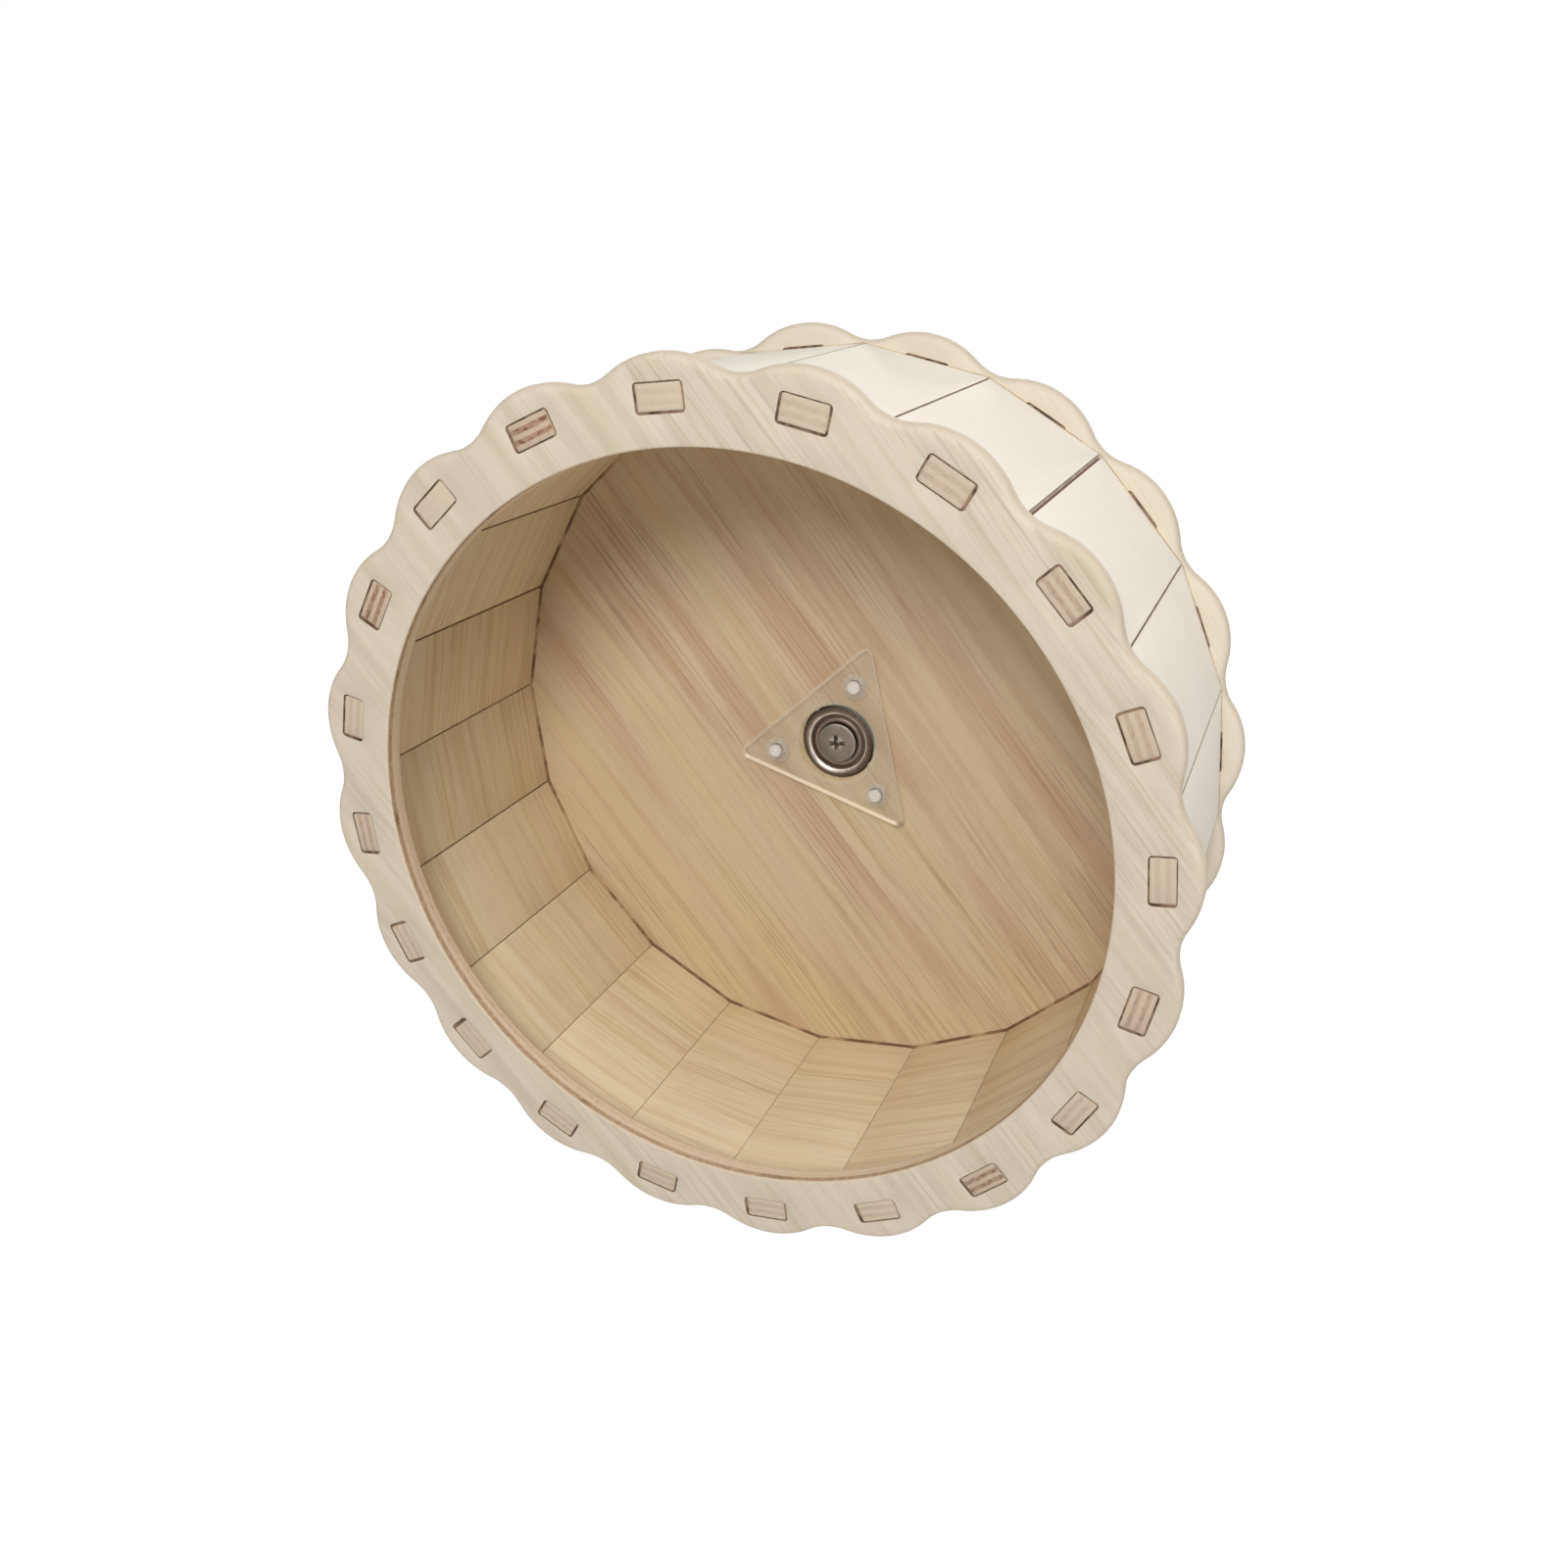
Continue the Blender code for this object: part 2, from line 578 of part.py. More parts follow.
def build_fasteners(axle, clamp_washer, wing_nut):
    """The lock nut, the two wide washers and the wing nut."""
    corner_radius = LOCK_NUT_FLATS / 2 / cos(pi / HEX_SIDES)
    hexagon = (circle(corner_radius, HEX_SIDES), 0.0)
    thread_hole = (circle(THREAD_HOLE, ROUND_STEPS // 2), 0.0)
    nut = flat_board(
        "axle_lock_nut", hexagon, [thread_hole], LOCK_NUT_HEIGHT, zinc_steel("axle_lock_nut")
    )
    place("axle_lock_nut", nut, axle, y=LOCK_NUT_FRONT)

    washer = [
        (THREAD_HOLE, 0.0),
        (WASHER_RADIUS, 0.0),
        (WASHER_RADIUS, WASHER_THICKNESS),
        (THREAD_HOLE, WASHER_THICKNESS),
    ]
    inner = turned("clamp_washer_inner", washer, zinc_steel("clamp_washer_inner"))
    place("clamp_washer_inner", inner, axle, y=INNER_WASHER_FRONT)
    outer = turned("clamp_washer_outer", washer, zinc_steel("clamp_washer_outer"))
    place("clamp_washer_outer", outer, clamp_washer)

    body = [
        (THREAD_HOLE, 0.0),
        (WING_NUT_BASE_RADIUS, 0.0),
        (WING_NUT_NECK_RADIUS, WING_NUT_HEIGHT),
        (THREAD_HOLE, WING_NUT_HEIGHT),
    ]
    nut_body = place("wing_nut", turned("wing_nut", body, zinc_steel("wing_nut")), wing_nut)
    shape_with(nut_body, place("wings", wing_mesh(), wing_nut), "UNION")


def wing_mesh():
    """Two flat wings with round tips, rooted in the wall of the nut."""
    root = (THREAD_HOLE + WING_NUT_NECK_RADIUS) / 2
    tip = (WING_REACH - WING_TIP_RADIUS, WING_RISE - WING_TIP_RADIUS)
    wall_end = WING_NUT_HEIGHT - WING_THICKNESS / 2
    outline = [(root, WING_THICKNESS / 2)]
    outline += arc(tip, WING_TIP_RADIUS, -WING_SLOPE, pi - WING_SLOPE, LOBE_STEPS)
    outline += [(root, wall_end)]
    bm = bmesh.new()
    for side in (1, -1):
        verts = [bm.verts.new((side * x, y, -WING_THICKNESS / 2)) for x, y in outline]
        face = bm.faces.new(verts)
        extruded = bmesh.ops.extrude_face_region(bm, geom=[face])
        raised = [item for item in extruded["geom"] if isinstance(item, bmesh.types.BMVert)]
        bmesh.ops.translate(bm, verts=raised, vec=(0.0, 0.0, WING_THICKNESS))
    return mesh_from("wings", bm, zinc_steel("wings"))


def clear_scene():
    for old in list(bpy.data.objects):
        bpy.data.objects.remove(old, do_unlink=True)


def build():
    clear_scene()
    root = empty("hamster_wheel", y=-SCREW_TIP / 2)
    axle = empty("axle", root)
    wheel = empty("wheel", root)
    ball_set = empty("ball_set", root, y=BEARING_CENTRE)
    clamp_washer = empty("clamp_washer", root, y=OUTER_WASHER_FRONT)
    wing_nut = empty("wing_nut_turn", root, y=WING_NUT_FRONT)
    build_boards(wheel)
    build_slats(wheel)
    build_hub_plates(wheel)
    build_rivets(wheel)
    build_races(wheel, axle)
    build_shields(wheel)
    build_balls(ball_set)
    build_axle_screw(axle)
    build_fasteners(axle, clamp_washer, wing_nut)


build()
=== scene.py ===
"""The looks of a wooden hamster wheel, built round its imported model.

The wheel turns about the Y axis and its open mouth faces -Y. Everything is in metres, in the frame
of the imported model. Each sub-assembly is a class that holds its sizes, builds its meshes and
dresses them; each finish is a frozen dataclass that makes its own material.
"""

from __future__ import annotations

import logging
import random
from collections.abc import Callable, Iterable, Mapping, Sequence
from dataclasses import dataclass, field, replace
from enum import Enum
from math import acos, atan2, ceil, copysign, cos, pi, radians, sin, sqrt, tan

import bmesh
import bpy
import numpy as np
from mathutils import Matrix, Vector


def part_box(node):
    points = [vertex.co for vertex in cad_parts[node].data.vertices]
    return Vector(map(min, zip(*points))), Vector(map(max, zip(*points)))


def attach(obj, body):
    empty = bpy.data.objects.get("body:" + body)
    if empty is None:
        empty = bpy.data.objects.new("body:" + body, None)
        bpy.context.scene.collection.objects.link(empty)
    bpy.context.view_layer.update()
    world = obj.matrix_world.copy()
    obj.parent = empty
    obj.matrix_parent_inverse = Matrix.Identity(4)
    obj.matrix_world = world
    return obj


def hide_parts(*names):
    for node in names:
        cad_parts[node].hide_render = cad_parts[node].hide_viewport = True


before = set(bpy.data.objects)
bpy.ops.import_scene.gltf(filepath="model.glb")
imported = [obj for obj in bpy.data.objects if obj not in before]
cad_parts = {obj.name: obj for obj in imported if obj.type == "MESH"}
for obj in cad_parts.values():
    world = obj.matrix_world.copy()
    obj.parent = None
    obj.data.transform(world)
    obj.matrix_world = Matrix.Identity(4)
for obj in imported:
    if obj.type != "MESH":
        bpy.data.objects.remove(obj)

MERGE_DISTANCE = 1e-7
SHARP_ANGLE = radians(38)
TURN_STEPS = 96
BREAK = 0.0001  # how far a sharp edge is broken
SQUARE_ON = 0.95  # the least cosine with which a face looks straight along an axis
HUNDREDTHS = 1e5  # of a millimetre in a metre

Colour = tuple[float, float, float, float]
Point = tuple[float, float]
Row = Callable[[float], Point]

WHITE: Colour = (1.0, 1.0, 1.0, 1.0)
MATT_WHITE: Colour = (0.8, 0.8, 0.8, 1.0)

log = logging.getLogger("hamster_wheel")


class Body(Enum):
    """The bodies of the frame that the new pieces ride on."""

    AXLE = "axle"
    WHEEL = "wheel"
    CLAMP_WASHER = "clamp_washer"
    WING_NUT = "wing_nut"


class Zone(Enum):
    """The zones of a board, each with its own edge treatment."""

    FACE = 0
    RIM = 1
    MOUTH = 2
    SLOT = 3
    TENON = 4


class PaintedLight(Enum):
    """Where the wood is painted paler to stand in for strong light on it: painted light."""

    NOWHERE = "nowhere"
    BACK = "back"  # the face that points away from the running side
    LOBES = "lobes"  # the front of what stands out beyond the slats


def paint(red: float, green: float, blue: float) -> Colour:
    """Turn a colour as it shows on a screen, 0 to 255, into the linear colour of a shader.

    Args:
        red: Its red.
        green: Its green.
        blue: Its blue.

    Returns:
        The linear colour, opaque.
    """
    shares = [channel / 255 for channel in (red, green, blue)]
    linear = [s / 12.92 if s <= 0.04045 else ((s + 0.055) / 1.055) ** 2.4 for s in shares]
    return (*linear, 1.0)


class Signal:
    """A value on its way between shader nodes; arithmetic on it adds Math nodes."""

    def __init__(self, graph: Graph, socket: bpy.types.NodeSocket) -> None:
        """Wrap an output socket of one of the graph's nodes."""
        self.graph = graph
        self.socket = socket

    def math(self, operation: str, *operands: Signal | float) -> Signal:
        """Add a Math node of an operation, with its operands in order."""
        return self.graph.node("ShaderNodeMath", {"operation": operation}, dict(enumerate(operands)))

    def __add__(self, other: Signal | float) -> Signal:
        """self + other."""
        return self.math("ADD", self, other)

    def __radd__(self, other: float) -> Signal:
        """other + self."""
        return self.math("ADD", other, self)

    def __sub__(self, other: Signal | float) -> Signal:
        """self - other."""
        return self.math("SUBTRACT", self, other)

    def __rsub__(self, other: float) -> Signal:
        """other - self."""
        return self.math("SUBTRACT", other, self)

    def __mul__(self, other: Signal | float) -> Signal:
        """self * other."""
        return self.math("MULTIPLY", self, other)

    def __rmul__(self, other: float) -> Signal:
        """other * self."""
        return self.math("MULTIPLY", other, self)

    def __mod__(self, other: float) -> Signal:
        """self % other."""
        return self.math("MODULO", self, other)

    def __pow__(self, power: float) -> Signal:
        """self ** power."""
        return self.math("POWER", self, power)

    def __abs__(self) -> Signal:
        """The size of self without its sign."""
        return self.math("ABSOLUTE", self)

    def within(self, low: float, high: float) -> Signal:
        """Rise smoothly from 0 at low to 1 at high; a high under low makes it fall instead."""
        inputs = {"Value": self, "From Min": low, "From Max": high}
        return self.graph.node("ShaderNodeMapRange", {"interpolation_type": "SMOOTHSTEP"}, inputs)


class Graph:
    """The nodes of one material or world."""

    MIX_COLOURS = (6, 7)
    MIX_RESULT = 2

    def __init__(self, tree: bpy.types.NodeTree, target: str) -> None:
        """Empty a node tree and give it its output node.

        Args:
            tree: The node tree.
            target: The output node's type.
        """
        tree.nodes.clear()
        self.tree = tree
        self.target = tree.nodes.new(target)

    @classmethod
    def of_material(cls, name: str) -> tuple[bpy.types.Material, Graph]:
        """Make a material.

        Args:
            name: Its name.

        Returns:
            The material and its graph.
        """
        material = bpy.data.materials.new(name)
        material.use_nodes = True
        return material, cls(material.node_tree, "ShaderNodeOutputMaterial")

    def node(
        self,
        kind: str,
        settings: Mapping[str, object] | None = None,
        inputs: Mapping[int | str, Signal | float | Sequence[float]] | None = None,
        output: int | str = 0,
    ) -> Signal:
        """Add a node.

        Args:
            kind: The node's type.
            settings: Its properties, which are set first; "stops" are a ramp's colour stops.
            inputs: The value of a socket, or the signal that feeds it, by its place or name.
            output: The socket that the signal leaves by.

        Returns:
            The node's signal.
        """
        made = self.tree.nodes.new(kind)
        for key, value in (settings or {}).items():
            if key == "stops":
                self._set_stops(made.color_ramp, value)
            else:
                setattr(made, key, value)
        for key, value in (inputs or {}).items():
            if isinstance(value, Signal):
                self.tree.links.new(value.socket, made.inputs[key])
            else:
                made.inputs[key].default_value = value
        return Signal(self, made.outputs[output])

    @staticmethod
    def _set_stops(ramp: bpy.types.ColorRamp, stops: Sequence[tuple[float, Colour]]) -> None:
        """Give a ramp its stops.

        Args:
            ramp: The ramp.
            stops: The place and the colour of each stop.
        """
        while len(ramp.elements) < len(stops):
            ramp.elements.new(1.0)
        for element, (place, colour) in zip(ramp.elements, stops):
            element.position = place
            element.color = colour

    def attribute(self, name: str) -> Signal:
        """Read a vector that the mesh carries."""
        return self.node("ShaderNodeAttribute", {"attribute_name": name}, output="Vector")

    def place(self) -> Signal:
        """Read where a point lies in its piece's own frame."""
        return self.node("ShaderNodeTexCoord", output="Object")

    def split(self, vector: Signal) -> list[Signal]:
        """Take a vector apart into its three parts."""
        outputs = self.node("ShaderNodeSeparateXYZ", None, {0: vector}).socket.node.outputs
        return [Signal(self, output) for output in outputs]

    def join(self, x: Signal | float, y: Signal | float, z: Signal | float) -> Signal:
        """Make a vector of three values."""
        return self.node("ShaderNodeCombineXYZ", None, {0: x, 1: y, 2: z})

    def off_axis(self) -> tuple[Signal, Signal]:
        """Read how far a point lies from its piece's Y axis, and its Y."""
        x, y, z = self.split(self.place())
        return (x * x + z * z) ** 0.5, y

    def noise(
        self,
        place: Signal,
        scale: Sequence[float],
        detail: float = 2.0,
        roughness: float = 0.5,
    ) -> Signal:
        """Make soft noise, mostly between 0.3 and 0.7.

        Args:
            place: Where a point lies.
            scale: How many blotches there are to a unit along each axis.
            detail: How many finer layers it has.
            roughness: How strong the finer layers are.

        Returns:
            The noise.
        """
        vector = self.node("ShaderNodeVectorMath", {"operation": "MULTIPLY"}, {0: place, 1: scale})
        inputs = {"Vector": vector, "Scale": 1.0, "Detail": detail, "Roughness": roughness}
        return self.node("ShaderNodeTexNoise", None, inputs)

    def mix(
        self,
        share: Signal | float,
        first: Signal | Colour,
        second: Signal | Colour,
        blend: str = "MIX",
    ) -> Signal:
        """Mix two colours.

        Args:
            share: How much of the second there is.
            first: The colour below.
            second: The colour above.
            blend: How the second goes on.

        Returns:
            The mixed colour.
        """
        below, above = self.MIX_COLOURS
        inputs = {0: share, below: first, above: second}
        settings = {"data_type": "RGBA", "blend_type": blend}
        return self.node("ShaderNodeMix", settings, inputs, self.MIX_RESULT)

    def shaded(self, colour: Signal, light: Signal) -> Signal:
        """Multiply a colour by a value."""
        grey = self.node("ShaderNodeCombineColor", None, {0: light, 1: light, 2: light})
        return self.mix(1.0, colour, grey, "MULTIPLY")

    def bump(self, height: Signal, depth: float, strength: float) -> Signal:
        """Turn a height from 0 to 1 into a normal.

        Args:
            height: The height.
            depth: What a height of 1 measures.
            strength: How much of the bump shows.

        Returns:
            The normal.
        """
        inputs = {"Strength": strength, "Distance": depth, "Height": height}
        return self.node("ShaderNodeBump", None, inputs)

    def principled(self, inputs: Mapping[str, object]) -> Signal:
        """Add the usual shader."""
        return self.node("ShaderNodeBsdfPrincipled", None, inputs)

    def blend(self, share: Signal, first: Signal, second: Signal) -> Signal:
        """Mix two shaders by the share of the second."""
        return self.node("ShaderNodeMixShader", None, {0: share, 1: first, 2: second})

    def finish(self, shader: Signal) -> None:
        """Send a shader to the output."""
        self.tree.links.new(shader.socket, self.target.inputs["Surface"])


@dataclass(frozen=True)
class PlyFinish:
    """Bare sanded plywood: straight-grained face veneers over plies that cross in turn.

    It reads three vectors that the mesh carries. "grain" is a point's place along, across and deep
    in the board. "facing" is a face's normal along the same three directions. "work" says how
    clearly the plies show, how much the cutter scorched the face, and how light the piece is.
    """

    name: str
    veneer: Colour
    blush: Colour  # broad pink bands
    straw: Colour  # broad yellow bands
    streak: Colour
    line: Colour  # thin lines along the grain
    pore: Colour  # short dashes along the grain
    end_grain: Colour = paint(178, 142, 116)
    end_pores: Colour = paint(128, 94, 76)
    edge_grain: Colour = paint(219, 201, 177)
    mouth_wall: Colour | None = None  # the same, where the plies show clearly
    seam: Colour = paint(174, 145, 116)  # the grimy ply behind the front veneer
    scorched: Colour = paint(96, 62, 42)
    # painted light: the paler colour that stands in for strong light falling on the wood
    painted_light_colour: Colour = paint(240, 234, 222)
    painted_light: PaintedLight = PaintedLight.NOWHERE
    painted_light_share: float = 0.85
    band_share: float = 0.8
    streak_share: float = 0.35
    line_share: float = 0.5
    pore_share: float = 0.5
    seam_share: float = 0.0
    lobe_start: float = 0.0935
    lobe_fade: float = 0.001
    seam_depth: float = 0.0010  # from the front face
    seam_width: float = 0.0010
    seam_wave: float = 0.0002
    thickness: float = 0.0050
    ply_count: int = 5
    band_width: float = 0.0090
    streak_width: float = 0.0034
    line_width: float = 0.0008
    pore_width: float = 0.0004
    fibre_width: float = 0.00026
    fibre_depth: float = 0.00005
    waviness: float = 0.0022
    gloss_index: float = 1.28  # index of refraction

    def material(self) -> bpy.types.Material:
        """Make the material.

        Returns:
            The material.
        """
        material, graph = Graph.of_material(self.name)
        stripes, burn, tone = graph.split(graph.attribute("work"))
        place = self._wavy_place(graph)
        colour, fibre = self._veneer(graph, place)
        # painted light: the wood turns paler where the mask says
        if self.painted_light is not PaintedLight.NOWHERE:
            colour = graph.mix(self._painted_light_mask(graph) * self.painted_light_share, colour, self.painted_light_colour)
        colour = self._edges(graph, colour, place, stripes)
        soot = graph.noise(place, (240.0, 240.0, 240.0), detail=3.0)
        patches = burn * (burn + (1.0 - burn) * soot.within(0.36, 0.58))
        inputs = {
            "Base Color": graph.shaded(graph.mix(patches, colour, self.scorched), tone),
            "Roughness": 0.60 + 0.2 * fibre,
            "Normal": graph.bump(fibre, self.fibre_depth, 0.5),
            "IOR": self.gloss_index,
        }
        graph.finish(graph.principled(inputs))
        return material

    def _painted_light_mask(self, graph: Graph) -> Signal:
        """Find where the wood is painted paler, as painted light.

        Args:
            graph: The material's graph.

        Returns:
            The mask.
        """
        deep = graph.split(graph.attribute("facing"))[2]
        if self.painted_light is PaintedLight.BACK:
            return deep.within(0.3, 0.8)
        radius, _ = graph.off_axis()
        lobes = radius.within(self.lobe_start, self.lobe_start + self.lobe_fade)
        return lobes * deep.within(0.3, -0.3)

    def _wavy_place(self, graph: Graph) -> Signal:
        """Bend the straight grain a little.

        Args:
            graph: The material's graph.

        Returns:
            A point's place in the wood.
        """
        place = graph.attribute("grain")
        along, across, deep = graph.split(place)
        bend = graph.noise(place, (9.0, 22.0, 22.0)) - 0.5
        return graph.join(along, across + bend * (2 * self.waviness), deep)

    def _lines(
        self, graph: Graph, place: Signal, width: float, length: float, detail: float = 2.0
    ) -> Signal:
        """Noise drawn out along the grain.

        Args:
            graph: The material's graph.
            place: A point's place in the wood.
            width: The width of one line.
            length: Its length, in widths.
            detail: How many finer layers it has.

        Returns:
            The noise.
        """
        scale = (1 / (width * length), 1 / width, 1 / width)
        return graph.noise(place, scale, detail, roughness=0.55)

    def _veneer(self, graph: Graph, place: Signal) -> tuple[Signal, Signal]:
        """Colour the face veneers.

        Args:
            graph: The material's graph.
            place: A point's place in the wood.

        Returns:
            Their colour, and the height of their fibres.
        """
        bands = self._lines(graph, place, self.band_width, 12.0)
        streaks = self._lines(graph, place, self.streak_width, 26.0).within(0.46, 0.68)
        dense = self._lines(graph, place, 2 * self.band_width, 5.0, 1.0).within(0.40, 0.62)
        lines = self._lines(graph, place, self.line_width, 60.0, 1.0).within(0.52, 0.68)
        pores = self._lines(graph, place, self.pore_width, 34.0, 1.0).within(0.57, 0.70)
        crowd = 0.2 + 0.8 * dense
        layers = (
            (bands.within(0.50, 0.34) * self.band_share, self.blush),
            (bands.within(0.50, 0.66) * self.band_share, self.straw),
            (streaks * self.streak_share, self.streak),
            (lines * crowd * self.line_share, self.line),
            (pores * crowd * self.pore_share, self.pore),
        )
        colour: Signal | Colour = self.veneer
        for share, tint in layers:
            colour = graph.mix(share, colour, tint)
        fibre = self._lines(graph, place, self.fibre_width, 22.0)
        return graph.shaded(colour, 0.93 + 0.14 * fibre), fibre

    def _edges(self, graph: Graph, veneer: Signal, place: Signal, stripes: Signal) -> Signal:
        """Lay the plies' edges over the veneer's colour.

        Args:
            graph: The material's graph.
            veneer: The veneer's colour.
            place: A point's place in the wood.
            stripes: How clearly the plies show.

        Returns:
            The colour of the whole board.
        """
        along, across, deep = graph.split(graph.attribute("facing"))
        depth = graph.split(graph.attribute("grain"))[2]
        wave = graph.noise(place, (260.0, 260.0, 0.0)) - 0.5
        plies = depth * (0.996 * self.ply_count / self.thickness) + wave * 0.45 + 0.01
        crossed = abs((plies + 1.5) % 2.0 - 1.0).within(0.62, 0.38)
        cut = crossed * across**2.0 + (1.0 - crossed) * (along**2.0 * 0.5 + across**2.0 * 0.35)
        dots = graph.noise(place, (900.0, 900.0, 1800.0))
        end_colour = graph.mix(dots.within(0.45, 0.68), self.end_grain, self.end_pores)
        side = 1.0 - deep**2.0
        edge: Signal | Colour = self.edge_grain
        if self.mouth_wall:
            edge = graph.mix(stripes, self.edge_grain, self.mouth_wall)
        colour = graph.mix(side, veneer, edge)
        colour = graph.mix(cut * side * stripes, colour, end_colour)
        if self.seam_share > 0.0:
            behind = abs(depth + wave * self.seam_wave - self.seam_depth)
            line = behind.within(self.seam_width, self.seam_width * 0.4)
            spots = 0.70 + 0.30 * dots.within(0.40, 0.58)
            knots = graph.noise(place, (110.0, 110.0, 0.0), detail=1.0)
            stain = graph.mix(knots.within(0.58, 0.74) * 0.8, self.seam, self.scorched)
            colour = graph.mix(line * spots * side * stripes * self.seam_share, colour, stain)
        return colour


@dataclass(frozen=True)
class AcrylicFinish:
    """Clear acrylic or polycarbonate, polished or with a sawn edge."""

    name: str
    body: Colour = paint(236, 228, 214)
    tint: Colour = paint(254, 253, 252)
    veil: float = 0.10  # how milky it is
    gloss_share: float = 1.0
    roughness: float = 0.08
    saw_marks: float = 0.0
    mirror: float = 0.0  # how fully it throws light back from inside
    painted_halo: float = 0.0  # painted highlight: how much paler and milkier it is in a ring round the bearing hole
    painted_halo_ring: tuple[float, float, float] = (0.0101, 0.0107, 0.0120)  # its start, middle and end
    speck_depth: float = 0.00004
    index: float = 1.49  # of refraction

    def material(self) -> bpy.types.Material:
        """Make the material.

        Returns:
            The material.
        """
        material, graph = Graph.of_material(self.name)
        specks = graph.noise(graph.place(), (1100.0, 2600.0, 1100.0), detail=3.0)
        facing = graph.node("ShaderNodeLayerWeight", None, {"Blend": 0.5}, "Facing")
        gloss = 0.04 + 0.96 * facing**5.0
        share = gloss * self.gloss_share + self.veil * (0.7 + 0.6 * specks)
        if self.painted_halo > 0.0:
            radius, _ = graph.off_axis()
            start, middle, end = self.painted_halo_ring
            share = share + radius.within(end, middle) * radius.within(start, middle) * self.painted_halo
        inputs = {
            "Base Color": self.body,
            "Roughness": self.roughness + 0.1 * specks,
            "IOR": self.index,
            "Metallic": self.mirror,
            "Normal": graph.bump(specks, self.speck_depth, 0.02 + self.saw_marks),
        }
        clear = graph.node("ShaderNodeBsdfTransparent", None, {0: self.tint})
        graph.finish(graph.blend(share, clear, graph.principled(inputs)))
        return material


@dataclass(frozen=True)
class MottledFinish:
    """A matt stuff with blotches of a second colour, such as old wood glue or scuffed nylon."""

    name: str
    # the defaults are the mortise glue's, darkened as painted shade for the gaps
    colour: Colour = paint(156, 126, 98)
    spots: Colour = paint(78, 52, 38)
    patch: float = 0.0030
    onset: tuple[float, float] = (0.40, 0.60)  # from where to where in the noise the spots rise
    spot_share: float = 1.0
    roughness: tuple[float, float] = (0.5, 0.3)  # its least, and how much the noise adds
    depth: float = 0.0001
    strength: float = 0.5
    glow: float = 0.0  # how much light goes through the surface
    glow_reach: float = 0.001

    def material(self) -> bpy.types.Material:
        """Make the material.

        Returns:
            The material.
        """
        material, graph = Graph.of_material(self.name)
        lumps = graph.noise(graph.place(), (1 / self.patch,) * 3, detail=3.0)
        least, swing = self.roughness
        share = lumps.within(*self.onset) * self.spot_share
        inputs = {
            "Base Color": graph.mix(share, self.colour, self.spots),
            "Roughness": least + swing * lumps,
            "Subsurface Weight": self.glow,
            "Subsurface Radius": (self.glow_reach,) * 3,
            "Normal": graph.bump(lumps, self.depth, self.strength),
        }
        graph.finish(graph.principled(inputs))
        return material


@dataclass(frozen=True)
class SteelFinish:
    """Turned, pressed or plated steel with fine rings round the axle and a dull bloom."""

    name: str
    colour: Colour
    stain: Colour
    roughness: float = 0.25
    ring_width: float = 0.00012
    ring_depth: float = 0.000004
    bloom_width: float = 0.0025
    stain_share: float = 0.5
    bands: tuple[tuple[float, Colour], ...] = ()  # colours by the distance from the axle
    band_reach: float = 0.01

    def material(self) -> bpy.types.Material:
        """Make the material.

        Returns:
            The material.
        """
        material, graph = Graph.of_material(self.name)
        radius, y = graph.off_axis()
        rings = graph.noise(graph.join(radius, y, 0.0), (1 / self.ring_width,) * 3)
        bloom = graph.noise(graph.place(), (1 / self.bloom_width,) * 3, detail=4.0)
        clean: Signal | Colour = self.colour
        if self.bands:
            stops = [(reach / self.band_reach, colour) for reach, colour in self.bands]
            share = radius * (1 / self.band_reach)
            clean = graph.node("ShaderNodeValToRGB", {"stops": stops}, {0: share})
        colour = graph.mix(bloom.within(0.42, 0.62) * self.stain_share, clean, self.stain)
        inputs = {
            "Base Color": graph.shaded(colour, 0.88 + 0.24 * rings),
            "Metallic": 1.0,
            "Roughness": self.roughness + 0.10 * rings + 0.10 * bloom - 0.1,
            "Normal": graph.bump(rings, self.ring_depth, 0.6),
        }
        graph.finish(graph.principled(inputs))
        return material


RING_PLY = PlyFinish(
    "ring_ply",
    veneer=paint(226, 211, 191),
    blush=paint(222, 203, 186),
    straw=paint(219, 204, 177),
    streak=paint(196, 180, 153),
    line=paint(180, 160, 134),
    pore=paint(164, 142, 116),
    end_grain=paint(220, 197, 167),
    end_pores=paint(204, 177, 146),
    edge_grain=paint(214, 201, 181),
    mouth_wall=paint(230, 211, 184),
    seam_share=0.95,
    line_share=0.32,
    pore_share=0.24,
)
DISC_PLY = PlyFinish(
    "disc_ply",
    veneer=paint(223, 202, 169),
    blush=paint(209, 179, 147),
    straw=paint(223, 203, 162),
    streak=paint(200, 170, 134),
    line=paint(166, 128, 94),
    pore=paint(148, 110, 80),
    end_grain=paint(206, 182, 150),
    end_pores=paint(184, 152, 116),
    edge_grain=paint(212, 198, 177),
    # painted light: the lobes' fronts are painted paler for the light that the outer slats throw on
    # them
    painted_light_colour=paint(231, 221, 206),
    painted_light=PaintedLight.LOBES,
    painted_light_share=0.8,
    band_width=0.0130,
    streak_share=0.40,
    line_share=0.42,
    pore_share=0.32,
)
SLAT_PLY = PlyFinish(
    "slat_ply",
    veneer=paint(234, 218, 187),
    blush=paint(230, 210, 179),
    straw=paint(232, 216, 178),
    streak=paint(210, 186, 143),
    line=paint(186, 150, 106),
    pore=paint(172, 135, 92),
    scorched=paint(108, 68, 46),
    # painted light: the slats' outer faces are painted paler for the strong light from above
    painted_light_colour=paint(244, 238, 226),
    painted_light=PaintedLight.BACK,
    streak_share=0.45,
    line_share=0.42,
    pore_share=0.3,
)
